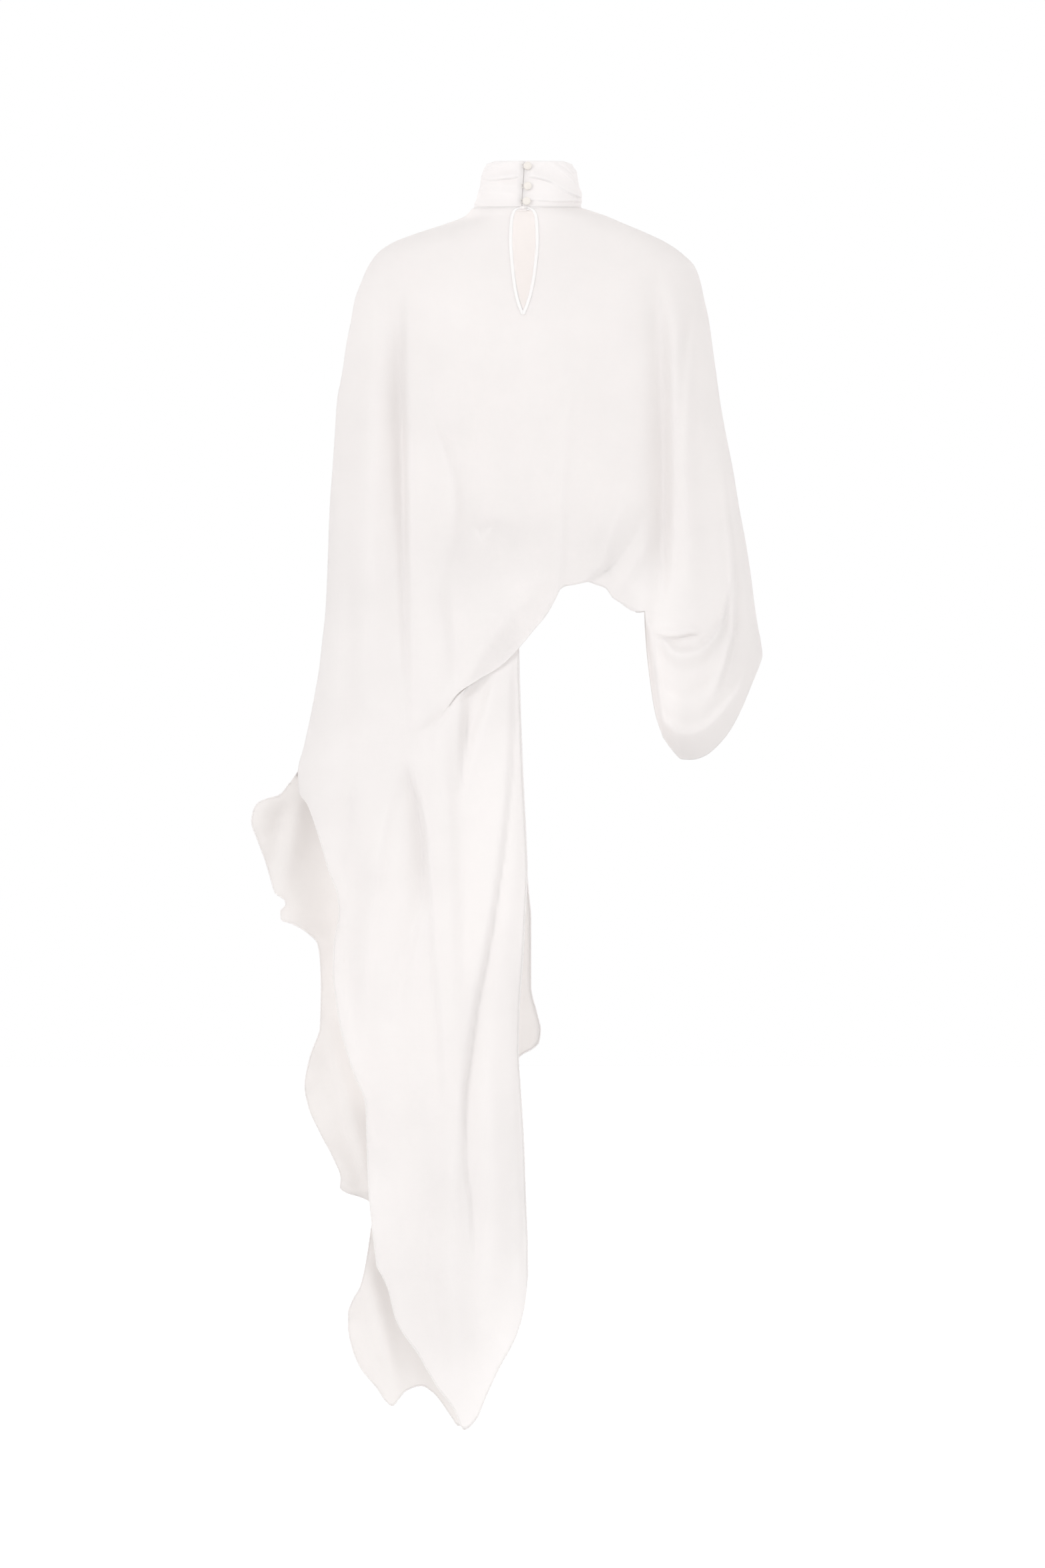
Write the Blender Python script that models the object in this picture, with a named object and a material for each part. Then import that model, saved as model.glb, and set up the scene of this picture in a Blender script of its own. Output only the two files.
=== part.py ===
"""A cape blouse, worn shape with no wearer, seen from behind in its photograph.

Lengths in the tables are millimetres. X runs to the wearer's right, Y to the wearer's front, Z up,
from the middle of the neck's base. Each sheet is a grid whose corners are placed by the functions
below, then given its thickness.
"""
import bmesh
import bpy
import numpy as np
from mathutils import Matrix

for old in list(bpy.data.objects):
    bpy.data.objects.remove(old, do_unlink=True)

MM = 0.001
CLOTH = 1.5  # wall of the shell and its lining cloth
COLLAR_WALL = 2.4  # draped collar, two layers
SEAM_GAP = 0.3  # between two pieces sewn together


def curve(*points):
    """A smooth function through the points (x, y) that never swings past them."""
    table = np.array(sorted(points), float)
    xs, ys = table[:, 0], table[:, 1]
    steps, slopes = np.diff(xs), np.diff(ys) / np.diff(xs)
    tangents = np.zeros_like(ys)
    tangents[0], tangents[-1] = slopes[0], slopes[-1]
    for k in range(1, len(xs) - 1):
        before, after = slopes[k - 1], slopes[k]
        if before * after > 0:
            a, b = 2 * steps[k] + steps[k - 1], steps[k] + 2 * steps[k - 1]
            tangents[k] = (a + b) / (a / before + b / after)

    def value(x):
        x = np.clip(np.asarray(x, float), xs[0], xs[-1])
        k = np.clip(np.searchsorted(xs, x) - 1, 0, len(steps) - 1)
        h = steps[k]
        p = (x - xs[k]) / h
        return (
            ys[k] * (1 + 2 * p) * (1 - p) ** 2
            + tangents[k] * h * p * (1 - p) ** 2
            + ys[k + 1] * p * p * (3 - 2 * p)
            - tangents[k + 1] * h * p * p * (1 - p)
        )

    return value


def ease(x, start, end):
    p = np.clip((x - start) / (end - start), 0, 1)
    return p * p * (3 - 2 * p)


# The body's outline over height, z: its left and right edges (the shoulder and arm seams), the line
# of its middle, how far it reaches back and to the front, and the seam's own y.
LEFT_X = curve(
    (-1, -67), (-12, -78), (-21, -100), (-34, -140), (-48, -176), (-61, -195), (-79, -208), (-97, -216),
    (-124, -226), (-151, -231), (-187, -238), (-223, -243), (-259, -250), (-304, -253), (-349, -256),
    (-403, -260), (-457, -262), (-511, -264), (-547, -266), (-583, -270), (-619, -274), (-655, -280),
    (-691, -287), (-727, -295), (-760, -303), (-1000, -306),
)
RIGHT_X = curve(
    (-1, 81), (-12, 114), (-21, 135), (-34, 166), (-48, 195), (-61, 214), (-79, 232), (-97, 239),
    (-124, 245), (-151, 251), (-187, 256), (-223, 261), (-259, 266), (-304, 274), (-349, 283),
    (-403, 292), (-457, 302), (-511, 310), (-536, 313), (-567, 318), (-585, 321.5), (-603, 323.5), (-800, 324),
)
MID_X = curve((-1, 2), (-140, 1.5), (-300, 0), (-600, -5), (-800, -3))
BACK_Y = curve(
    (-1, -69.5), (-20, -75), (-60, -88), (-100, -100), (-140, -109), (-175, -113), (-215, -114),
    (-270, -110), (-340, -103), (-400, -100), (-440, -101), (-510, -104), (-600, -106), (-760, -106),
)
FRONT_Y = curve(
    (-1, 64.5), (-20, 73), (-60, 92), (-110, 110), (-142, 120), (-175, 130), (-215, 135), (-268, 131),
    (-340, 122), (-400, 117), (-600, 115),
)
SEAM_Y = curve((-1, -2), (-34, 1), (-80, 5), (-200, 6), (-300, 10), (-450, 15), (-600, 18), (-760, 19))
ROUNDING = curve((-1, 1.0), (-60, 1.0), (-150, 0.9), (-260, 0.78), (-600, 0.72))
FRONT_TOP_DROP = 7.0  # how much lower the collar's top lies at the front

# The rows of the body, t = 0 to 10: height at the middle and at both ends.
MID_Z = curve((0, -1), (0.6, -17), (1.3, -43), (2.2, -80), (3.1, -115), (3.8, -141), (4.6, -175), (5.4, -215), (6.4, -268),
              (7.4, -330), (8.4, -390), (9.2, -440), (10, -500))
LEFT_Z = curve((0, -1), (0.6, -14), (1.3, -25), (2.2, -38), (3.1, -58), (3.8, -80), (4.6, -112), (5.4, -156), (6.4, -223),
               (7.4, -330), (8.4, -430), (9.2, -520), (10, -620))
RIGHT_Z = curve((0, -1), (0.6, -12), (1.3, -25), (2.2, -37), (3.1, -55), (3.8, -80), (4.6, -115), (5.4, -153), (6.4, -224),
                (7.4, -320), (8.4, -400), (9.2, -460), (10, -520))
DROOP = curve((0, 0), (0.35, 0.06), (0.6, 0.24), (0.8, 0.55), (0.92, 0.84), (1, 1))

# Lowest row: the back's rolled hem line and waist hem, and the front's.
BACK_LOW = curve(
    (-303, -760), (-250, -748), (-200, -730), (-139, -709), (-110, -687), (-88, -660), (-62, -642.5),
    (-29, -622), (-7, -600), (3.6, -587.5), (16, -572), (33, -551), (42, -535), (53, -515),
    (72, -510.5), (90, -507), (97, -510), (112, -515), (121.5, -528), (136, -536), (150, -541),
    (165, -544.5), (190, -545), (250, -541), (313, -536),
)
FRONT_LOW = curve(
    (-303, -760), (-220, -745), (-139, -715), (-70, -660), (-5, -585), (20, -545), (50, -502), (90, -495),
    (115, -503), (140, -526), (165, -544.5), (250, -541), (313, -536),
)

# The back leaf and the front leaf below the lowest row: z and x of their hems.
BACK_LEAF_LEFT = curve(
    (-560, -267), (-637, -277), (-691, -287), (-743, -299), (-765, -304), (-787, -302), (-805, -290),
    (-846, -275), (-897, -260), (-927, -249), (-952, -247), (-993, -254), (-1030, -255), (-1066, -251),
    (-1100, -246), (-1164, -228), (-1210, -211), (-1270, -209), (-1321, -207), (-1376, -202), (-1427, -196),
)
BACK_LEAF_RIGHT = curve(
    (-540, -2), (-600, -7), (-709, -4), (-781, -2), (-900, -1), (-1016, -1), (-1079, -4.5), (-1138, -6),
    (-1185, -3), (-1270, 2), (-1334, 4), (-1397, 6.5), (-1440, 7),
)
BACK_LEAF_HEM = curve(
    (-196, -1427), (-181, -1457), (-170, -1499), (-140, -1546), (-115, -1589), (-90, -1623), (-79, -1647),
    (-62, -1632), (-51, -1606), (-31, -1563), (-9, -1521), (2, -1482), (7, -1440),
)
FRONT_LEAF_LEFT = curve(
    (-760, -303), (-768, -312), (-781, -320), (-792, -340), (-799, -351), (-813, -366), (-831, -366), (-853, -358),
    (-880, -348), (-907, -340), (-925, -334), (-935, -321), (-941, -320), (-950, -327), (-961, -326),
    (-966, -312), (-979, -290), (-993, -277), (-1020, -273), (-1051, -272), (-1105, -273), (-1141, -285),
    (-1159, -290), (-1186, -294), (-1213, -289), (-1249, -273), (-1285, -254), (-1310, -245), (-1325, -247),
    (-1331, -236), (-1334, -216), (-1348, -205), (-1384, -206), (-1429, -212), (-1456, -219), (-1474, -229),
    (-1492, -235), (-1510, -235), (-1537, -230), (-1564, -219), (-1582, -205),
)
FRONT_LEAF_RIGHT = curve(
    (-560, 0), (-620, 0), (-781, 1), (-880, 5), (-925, 7), (-961, 11), (-1051, 11), (-1087, 19),
    (-1110, 24), (-1126, 22), (-1136, 12), (-1142, 0), (-1160, -14), (-1350, -22), (-1500, -45), (-1582, -62),
)
FRONT_LEAF_HEM = curve(
    (-205, -1582), (-197, -1591), (-184, -1609), (-175, -1616), (-166, -1606), (-157, -1596), (-136, -1589),
    (-120, -1598), (-112, -1607), (-96, -1630), (-86, -1643), (-80, -1640), (-62, -1600),
)

# Long folds of the back: each a line x over z, its depth in mm (plus is a hollow, minus a ridge) and
# half width. Beside it, the width on its right when that differs.
BACK_FOLDS = (
    (curve((-120, -160), (-260, -166), (-400, -169), (-560, -166), (-720, -160)),
     curve((-110, 0), (-220, 13), (-330, 20), (-430, 22), (-560, 16), (-650, 7), (-730, 0)), 24, 15),
    (curve((-100, -195), (-400, -199), (-700, -205)),
     curve((-120, 0), (-220, -5), (-420, -8), (-600, -5), (-740, 0)), 20, 20),
    (curve((-80, 176), (-200, 182), (-400, 185), (-540, 183)),
     curve((-70, 0), (-150, 10), (-240, 18), (-360, 22), (-460, 19), (-520, 8), (-545, 3)), 26, 17),
    (curve((-90, 206), (-300, 214), (-500, 222)),
     curve((-90, 0), (-200, -6), (-400, -7), (-520, -4)), 15, 18),
    (curve((-150, 20), (-264, 55), (-520, 56)),
     curve((-180, 0), (-280, -4), (-420, -6), (-520, -5)), 26, 9),
    (curve((-260, -122), (-392, -88), (-500, -88), (-600, -110)),
     curve((-240, 0), (-330, -4), (-470, -6), (-600, -6), (-660, 0)), 26, 14),
    (curve((-430, -96), (-560, -62), (-640, -40)),
     curve((-420, 0), (-520, 5), (-600, 5), (-640, 0)), 26, 26),
)
TAIL_FOLDS = (
    (curve((-728, -164), (-870, -176), (-1000, -184), (-1250, -168)),
     curve((-715, 0), (-800, 9), (-900, 16), (-1010, 14), (-1110, 5), (-1180, 0)), 20, 20),
    (curve((-728, -164), (-850, -134), (-960, -126), (-1070, -117), (-1200, -108)),
     curve((-715, 0), (-800, -5), (-930, -10), (-1060, -10), (-1180, -3), (-1230, 0)), 22, 10),
    (curve((-600, -22), (-714, -16), (-790, -18), (-850, -27), (-920, -36), (-990, -50), (-1066, -62), (-1150, -70),
           (-1282, -69), (-1400, -66)),
     curve((-580, 0), (-660, 10), (-760, 17), (-900, 19), (-1050, 17), (-1180, 11), (-1300, 4), (-1400, 0)), 9, 24),
    (curve((-600, -50), (-790, -42), (-920, -58), (-1066, -84), (-1282, -92)),
     curve((-560, 0), (-700, -7), (-900, -11), (-1080, -10), (-1250, -4), (-1380, 0)), 20, 12),
    (curve((-640, -88), (-700, -70), (-760, -78), (-830, -80)),
     curve((-600, 0), (-680, 12), (-740, 10), (-800, 4), (-850, 0)), 13, 13),
    (curve((-760, -236), (-900, -238), (-1100, -222), (-1300, -180)),
     curve((-740, 0), (-850, 6), (-1000, 10), (-1150, 6), (-1300, 0)), 24, 24),
    (curve((-1150, -40), (-1300, -30), (-1500, -34)),
     curve((-1100, 0), (-1250, -8), (-1400, -8), (-1560, 0)), 26, 26),
    (curve((-1200, -140), (-1400, -130), (-1560, -110)),
     curve((-1200, 0), (-1350, 5), (-1500, 4), (-1600, 0)), 24, 24),
)
FRONT_FOLDS = (
    (curve((-120, -150), (-400, -158), (-700, -150)),
     curve((-110, 0), (-250, 12), (-430, 20), (-600, 14), (-720, 4), (-800, 0)), 26, 20),
    (curve((-80, 178), (-540, 182)), curve((-70, 0), (-240, 16), (-420, 20), (-530, 8), (-560, 3)), 24, 20),
    (curve((-200, -20), (-600, -60)), curve((-180, 0), (-330, -5), (-560, -7), (-640, 0)), 30, 24),
    (curve((-200, 60), (-520, 84)), curve((-180, 0), (-330, -4), (-500, -5), (-560, 0)), 24, 24),
)
FRONT_LEAF_FOLDS = (
    (curve((-780, -330), (-990, -240), (-1200, -190)),
     curve((-760, 0), (-840, 10), (-950, 13), (-1100, 8), (-1300, 0)), 16, 22),
    (curve((-780, -300), (-990, -200), (-1200, -150)),
     curve((-760, 0), (-840, -9), (-950, -12), (-1100, -8), (-1300, 0)), 20, 22),
    (curve((-1100, -262), (-1330, -200)), curve((-1080, 0), (-1180, -9), (-1280, -8), (-1400, 0)), 14, 20),
    (curve((-1400, -214), (-1600, -170)), curve((-1380, 0), (-1480, -8), (-1560, -9), (-1600, -5)), 12, 16),
    (curve((-700, -90), (-1200, -80)), curve((-640, 0), (-850, 14), (-1050, 12), (-1300, 0)), 34, 34),
)


NARROWEST = 15.0  # no fold of these solids is narrower than this half width


def folded(x, z, folds):
    total = np.zeros_like(x)
    for line, depth, left, right in folds:
        left, right = max(left, NARROWEST), max(right, NARROWEST)
        away = x - line(z)
        total += depth(z) * np.exp(-((away / np.where(away < 0, left, right)) ** 2))
    return total


# The keyhole: half width of the slit over z, and its tip.
KEYHOLE_TIP = -141.0
KEYHOLE = curve((0, 12.5), (-20, 14.5), (-44, 15.7), (-85, 12.6), (-116, 7.9), (-132, 3.4), (-141, 0))
KEYHOLE_X = curve((0, 2.0), (-60, 1.9), (-141, 0.6))

# The step in the sleeve where an outer strip lies behind, and the sleeve's hanging folds.
STRIP_EDGE = curve(
    (-180, 256), (-236, 261), (-331, 269.6), (-405, 278), (-475, 285.3), (-530, 287), (-558, 286),
    (-581, 282.6), (-607.5, 276.3), (-633, 269), (-655, 261.6),
)
STRIP_DEPTH = curve((-190, 0), (-290, 6), (-420, 9), (-560, 9), (-620, 6), (-670, 0))
INNER_SWAG = curve((180, -580), (194, -592), (212, -604), (235, -601), (257, -579), (271, -556), (280, -511))
OUTER_SWAG = curve((172, -655), (179, -673), (195, -692), (223, -703), (245, -696), (269, -673), (287, -652), (300, -630))
SLIT = curve((170, -573), (188, -579.6), (204, -581.8), (230, -577), (242, -580))


def sleeve_relief(x, z):
    """Hollows (plus) and ridges (minus) of the back of the sleeve, in mm."""
    relief = STRIP_DEPTH(z) * ease(x - STRIP_EDGE(z), -3, 9)
    inner = z - INNER_SWAG(x)
    relief -= 10 * np.exp(-((inner / 13) ** 2)) * ease(x, 178, 198) * (1 - ease(x, 268, 284))
    outer = z - OUTER_SWAG(x)
    relief -= 13 * np.exp(-((outer / 18) ** 2)) * ease(x, 172, 192) * (1 - ease(x, 282, 304))
    middle = z - (INNER_SWAG(x) + OUTER_SWAG(x)) / 2
    relief += 8 * np.exp(-((middle / 15) ** 2)) * ease(x, 176, 196) * (1 - ease(x, 268, 290))
    slit = z - SLIT(x)
    relief += 8 * np.exp(-((slit / np.where(slit > 0, 12, 5)) ** 2)) * ease(x, 168, 182) * (1 - ease(x, 226, 246))
    return relief


def body_y(x, z, side):
    """y of the back's (side -1) or front's (side 1) middle surface at a place of the outline."""
    left, right = LEFT_X(z), RIGHT_X(z)
    across = np.clip((x - (left + right) / 2) / ((right - left) / 2), -1, 1)
    wall = (CLOTH + SEAM_GAP) / 2 * side
    reach = (BACK_Y if side < 0 else FRONT_Y)(z) - SEAM_Y(z) - wall
    y = SEAM_Y(z) + wall + reach * np.sqrt(1 - across * across) ** ROUNDING(z)
    folds = folded(x, z, BACK_FOLDS if side < 0 else FRONT_FOLDS)
    if side < 0:
        folds = folds + sleeve_relief(x, z) * ease(x, 160, 190)
    return y - side * folds * ease(1 - np.abs(across), 0, 0.12)


ROLL_HANG = 4.8


def column_x(s, z):
    return MID_X(z) + np.where(s < 0, MID_X(z) - LEFT_X(z), RIGHT_X(z) - MID_X(z)) * s


def low_z(s, side):
    """Height of the lowest row. Where the cloth rolls under, its bend hangs a little lower than this row."""
    z = np.full(np.shape(s), -600.0)
    for _ in range(40):
        x = column_x(s, z)
        low = (BACK_LOW if side < 0 else FRONT_LOW)(x)
        if side < 0:
            low = low + ROLL_HANG * ease(x, -139, -84) * (1 - ease(x, 130, 162))
        z = 0.5 * z + 0.5 * low
    return z


def body_point(s, t, side):
    """A point of the back (side -1) or the front (side 1). s runs from the left seam, -1, to the right seam, 1."""
    s, t = np.broadcast_arrays(np.asarray(s, float), np.asarray(t, float))
    end_z = np.where(s < 0, LEFT_Z(t), RIGHT_Z(t))
    z = MID_Z(t) + (end_z - MID_Z(t)) * DROOP(np.abs(s))
    z = z + (low_z(s, side) - z) * np.clip((t - 7.4) / 2.6, 0, 1) ** 1.6
    x = column_x(s, z)
    if side < 0:
        opening = KEYHOLE(z) * (z > KEYHOLE_TIP)
        x = x + np.where(s < 0, -1, 1) * opening * (1 - ease(np.abs(s), 0.03, 0.3))
    return x, body_y(x, z, side), z


# How the back rolls under along its low row: the turn in degrees and the length that runs up inside.
ROLL_TURN = curve((-303, 0), (-150, 0), (-128, 30), (-105, 100), (-84, 150), (-60, 170), (-20, 172), (165, 172))
ROLL_LENGTH = curve((-303, 14), (-140, 14), (-100, 26), (-50, 46), (0, 46), (40, 34), (110, 24), (165, 18))
FRONT_TURN = curve((-10, 172), (165, 172))
FRONT_LENGTH = curve((-10, 30), (165, 18))
BEND = 13.0  # length of each bend


def rolled(x, z, q, side):
    """The path under the low row at q: 0 to 1 first bend, 1 to 2 the layer that runs up, 2 to 3 second bend."""
    turn = np.radians((ROLL_TURN if side < 0 else FRONT_TURN)(x))
    layer = (ROLL_LENGTH if side < 0 else FRONT_LENGTH)(x)
    steps = 48
    inward, down = np.zeros_like(x), np.zeros_like(x)
    for k in range(steps):
        at = (k + 0.5) / steps * 3
        share = np.clip(q * steps / 3 - k, 0, 1)
        angle = turn * np.where(at < 1, at, np.where(at < 2, 1, 3 - at))
        length = np.where((at > 1) & (at < 2), layer, BEND) * 3 / steps * share
        inward, down = inward + np.sin(angle) * length, down + np.cos(angle) * length
    return body_y(x, z - down, side) - side * inward, z - down


def roll_point(s, q, side):
    x, _, z = body_point(s, 10.0, side)
    y, z = rolled(x, z, np.asarray(q, float) + 0 * x, side)
    # The turned-in hem narrows beside the sleeve, clear of the seam under the arm.
    x = x - 11 * ease(x, 120, 165) * ease(q + 0 * x, 0, 0.7)
    # Only the right part is a waist hem, which comes to lie on the band inside.
    pull = ease(x, 2, 40) * (1 - ease(x, 100, 150)) * ease(q + 0 * x, 0.7, 2.0)
    target = band_y(x, side) + side * (CLOTH + SEAM_GAP + 0.2)
    return x, y + (target - y) * pull, z


BAND_HALF_X, BAND_HALF_Y, BAND_CENTRE = 152.0, 90.0, (4.0, 3.0)


def band_y(x, side):
    across = np.clip((x - BAND_CENTRE[0]) / BAND_HALF_X, -1, 1)
    return BAND_CENTRE[1] + side * BAND_HALF_Y * np.sqrt(1 - across * across)


def leaf_point(s, p, side):
    """The hanging leaf below the roll. p runs from its top, 0, to its hem, 1."""
    s, p = np.broadcast_arrays(np.asarray(s, float), np.asarray(p, float))
    if side < 0:
        x0, y0, z0 = roll_point(s, 3.0, side)
        left, right, hem, floor = BACK_LEAF_LEFT, BACK_LEAF_RIGHT, BACK_LEAF_HEM, -1427.0
    else:
        x0, y0, z0 = body_point(s, 10.0, side)
        left, right, hem, floor = FRONT_LEAF_LEFT, FRONT_LEAF_RIGHT, FRONT_LEAF_HEM, -1582.0
    share = np.abs(s)
    end_x = right(floor) + (left(floor) - right(floor)) * share
    z1 = hem(end_x)
    z = z0 + (z1 - z0) * p
    level = np.maximum(z, floor)
    x = right(level) + (left(level) - right(level)) * share
    start = 1 - ease(z0 - z, 0, 60)
    x = x + (x0 - (right(z0) + (left(z0) - right(z0)) * share)) * start
    drop = z0 - z
    if side < 0:
        plane = curve((-560, -84), (-700, -88), (-900, -92), (-1150, -86), (-1400, -78), (-1650, -72))(z)
        edge = curve((-760, 95), (-830, 66), (-900, 46), (-1000, 30), (-1150, 16), (-1400, 6), (-1650, 0))(z)
        y = plane + edge * np.exp(-(((x - left(level)) / 55) ** 2))
        y = y + folded(x, z, TAIL_FOLDS)
        y = y + 5 * np.sin(z / 34.0) * np.exp(-(((x - left(level)) / 22) ** 2)) * ease(drop, 30, 120)
        near = ease(drop, 0, 170)
    else:
        plane = curve((-600, 112), (-760, 84), (-900, 60), (-1050, 34), (-1200, 8), (-1400, -18), (-1650, -36))(z)
        edge = curve((-760, -58), (-830, -30), (-960, -12), (-1200, 0))(z)
        y = plane + edge * np.exp(-(((x - left(level)) / 60) ** 2))
        y = y + folded(x, z, FRONT_LEAF_FOLDS)
        y = y + 7 * np.sin(z / 25.0) * np.exp(-(((x - left(level)) / 26) ** 2)) * ease(drop, 10, 60)
        near = ease(drop, 0, 220)
    above = body_y(x, z, side) + y0 - body_y(x0, z0, side)
    return x, above + (y - above) * near, z


# The sleeve below the low row: corner paths of its outline (share, x, z).
SLEEVE_INNER = ((0, 165, -544.5), (0.29, 168, -594), (0.56, 173, -640), (0.8, 180, -683), (1, 190, -714))
SLEEVE_OUTER = ((0, 313, -536), (0.4, 318, -567), (0.62, 321.5, -585), (0.82, 323.5, -603), (1, 319, -620))
SLEEVE_BOTTOM = (
    (0, 190, -714), (0.1, 203, -732), (0.19, 216, -744), (0.27, 229, -744.5), (0.37, 245, -740),
    (0.49, 262, -727), (0.62, 280, -705), (0.76, 295, -677), (0.9, 309, -644), (1, 319, -620),
)
SLEEVE_START = float((165 - MID_X(-544.5)) / (RIGHT_X(-544.5) - MID_X(-544.5)))


def path(rows):
    return curve(*((r[0], r[1]) for r in rows)), curve(*((r[0], r[2]) for r in rows))


def sleeve_point(s, v, side):
    s, v = np.broadcast_arrays(np.asarray(s, float), np.asarray(v, float))
    w = (s - SLEEVE_START) / (1 - SLEEVE_START)
    top_x, top_y, top_z = body_point(s, 10.0, side)
    (in_x, in_z), (out_x, out_z), (low_x, low_z_) = map(path, (SLEEVE_INNER, SLEEVE_OUTER, SLEEVE_BOTTOM))
    bend = w + 0.0

    def patch(top, inner, outer, low, corners):
        a, b, c, d = corners
        flat = (1 - w) * (1 - v) * a + w * (1 - v) * b + (1 - w) * v * c + w * v * d
        return (1 - v) * top + v * low(bend) + (1 - w) * inner(v) + w * outer(v) - flat

    x = patch(top_x, in_x, out_x, low_x, (165, 313, 190, 319))
    z = patch(top_z, in_z, out_z, low_z_, (-544.5, -536, -714, -620))
    wall = (CLOTH + SEAM_GAP) / 2
    seam = SEAM_Y(z)
    closing = 1 - np.clip(1 - v**2.2, 0, 1) ** 0.6
    low_gap = curve((0, wall), (0.22, wall), (0.34, 14), (0.55, 32), (0.8, 26), (0.93, 10), (1, wall))
    start = float(abs(body_y(165.0, -544.5, side) - SEAM_Y(-544.5)))
    inner_gap = curve((0, start), (0.05, start - 1.5), (0.2, 60), (0.42, 24), (0.62, wall), (1, wall))

    def depth_at(across):
        fall = np.abs(body_y(x, z, side) - seam) * (1 - closing) + low_gap(across) * closing
        return fall + 10 * np.sin(np.pi * np.clip(across, 0, 1)) * np.sin(np.pi * v) ** 2

    depth = depth_at(w)
    edge = 1 - np.sqrt(np.clip(1 - (1 - np.clip(w / 0.4, 0, 1)) ** 2, 0, 1))
    at_edge = np.abs(body_y(in_x(v), in_z(v), side) - SEAM_Y(in_z(v))) * (1 - closing) + wall * closing
    depth = depth - (at_edge - inner_gap(v)) * edge
    depth = np.maximum(depth, wall)
    return x, seam + side * depth, z


def patch_of(columns, rows, place):
    """One grid of a sheet: its corners are placed at each column and row value."""
    bm = bmesh.new()
    nx, ny = len(columns) - 1, len(rows) - 1
    bmesh.ops.create_grid(bm, x_segments=nx, y_segments=ny, size=0.5)
    bm.verts.ensure_lookup_table()
    i = np.array([round((v.co.x + 0.5) * nx) for v in bm.verts])
    j = np.array([round((v.co.y + 0.5) * ny) for v in bm.verts])
    x, y, z = place(np.array(columns, float)[i], np.array(rows, float)[j])
    for vert, corner in zip(bm.verts, np.stack([x, y, z], 1) * MM):
        vert.co = corner
    return bm


def joined(patches):
    """The grids made one mesh, with the corners that fall together welded."""
    whole = bmesh.new()
    for bm in patches:
        mesh = bpy.data.meshes.new("patch")
        bm.to_mesh(mesh)
        bm.free()
        whole.from_mesh(mesh)
        bpy.data.meshes.remove(mesh)
    bmesh.ops.remove_doubles(whole, verts=whole.verts, dist=2e-6)
    return whole


def material(name, colour, roughness):
    made = bpy.data.materials.new(name)
    made.use_nodes = True
    shader = made.node_tree.nodes["Principled BSDF"]
    shader.inputs["Base Color"].default_value = (*colour, 1)
    shader.inputs["Roughness"].default_value = roughness
    return made


CREPE = material("white crepe", (0.86, 0.85, 0.84), 0.75)
LINING = material("white lining cloth", (0.84, 0.83, 0.82), 0.8)
BUTTON = material("covered button", (0.8, 0.76, 0.7), 0.6)
THREAD = material("loop thread", (0.8, 0.78, 0.75), 0.8)


def finished(name, bm, cloth, wall=None, offset=0.0):
    bmesh.ops.recalc_face_normals(bm, faces=bm.faces)
    mesh = bpy.data.meshes.new(name)
    bm.to_mesh(mesh)
    bm.free()
    mesh.materials.append(cloth)
    obj = bpy.data.objects.new(name, mesh)
    bpy.context.scene.collection.objects.link(obj)
    if wall:
        shell = obj.modifiers.new("wall", "SOLIDIFY")
        shell.thickness = wall * MM
        shell.offset = offset
        shell.use_even_offset = False
    return obj


LEFT_COLUMNS = (
    -1, -0.992, -0.97, -0.93, -0.88, -0.82, -0.755, -0.69, -0.635, -0.59, -0.55, -0.51, -0.46, -0.4, -0.335,
    -0.27, -0.2, -0.13, -0.06, 0,
)
MID_COLUMNS = (0, 0.06, 0.125, 0.19, 0.25, 0.31, 0.375, 0.42, 0.475, SLEEVE_START)
RIGHT_COLUMNS = (SLEEVE_START, 0.575, 0.61, 0.65, 0.7, 0.76, 0.82, 0.87, 0.905, 0.935, 0.965, 0.99, 1)
BODY_ROWS = (0, 0.45, 1.0, 1.7, 2.5, 3.2, 3.78, 4.5, 5.4, 6.3, 7.2, 8.0, 8.6, 9.0, 9.3, 9.6, 9.85, 10)
ROLL_ROWS = (0, 0.33, 0.66, 1, 2)
BEND_ROWS = (2, 2.33, 2.66, 3)
FRONT_COLUMNS = (-1, -0.99, -0.96, -0.9, -0.82, -0.72, -0.62, -0.54, -0.46, -0.36, -0.24, -0.12, 0)
FRONT_MID = (0, 0.12, 0.24, 0.36, 0.45, SLEEVE_START)
FRONT_RIGHT = RIGHT_COLUMNS
FRONT_ROWS = BODY_ROWS
SLEEVE_ROWS = (0, 0.1, 0.2, 0.3, 0.42, 0.54, 0.66, 0.78, 0.9, 1)


def tip_row():
    """The row whose middle is at the keyhole's tip."""
    ts = np.linspace(2, 6, 4001)
    return float(ts[np.argmin(np.abs(MID_Z(ts) - KEYHOLE_TIP))])


def leaf_rows(levels, side):
    """Row values whose left ends come at these heights."""
    _, _, top = leaf_point(-1.0, 0.0, side)
    _, _, low = leaf_point(-1.0, 1.0, side)
    return [0.0] + [float((top - level) / (top - low)) for level in levels] + [1.0]


BACK_LEVELS = (-822, -836, -852, -870, -890, -912, -935, -960, -990, -1025, -1060, -1095, -1130, -1165, -1200, -1235,
               -1270, -1305, -1340, -1370, -1395, -1415)
FRONT_LEVELS = (-768, -781, -792, -801, -813, -831, -853, -880, -907, -925, -935, -944, -953, -961, -968, -979, -993,
                -1020, -1051, -1080, -1105, -1130, -1159, -1186, -1213, -1249, -1285, -1310, -1325, -1332, -1338, -1350,
                -1384, -1420, -1456, -1474, -1492, -1510, -1537, -1560)


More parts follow.
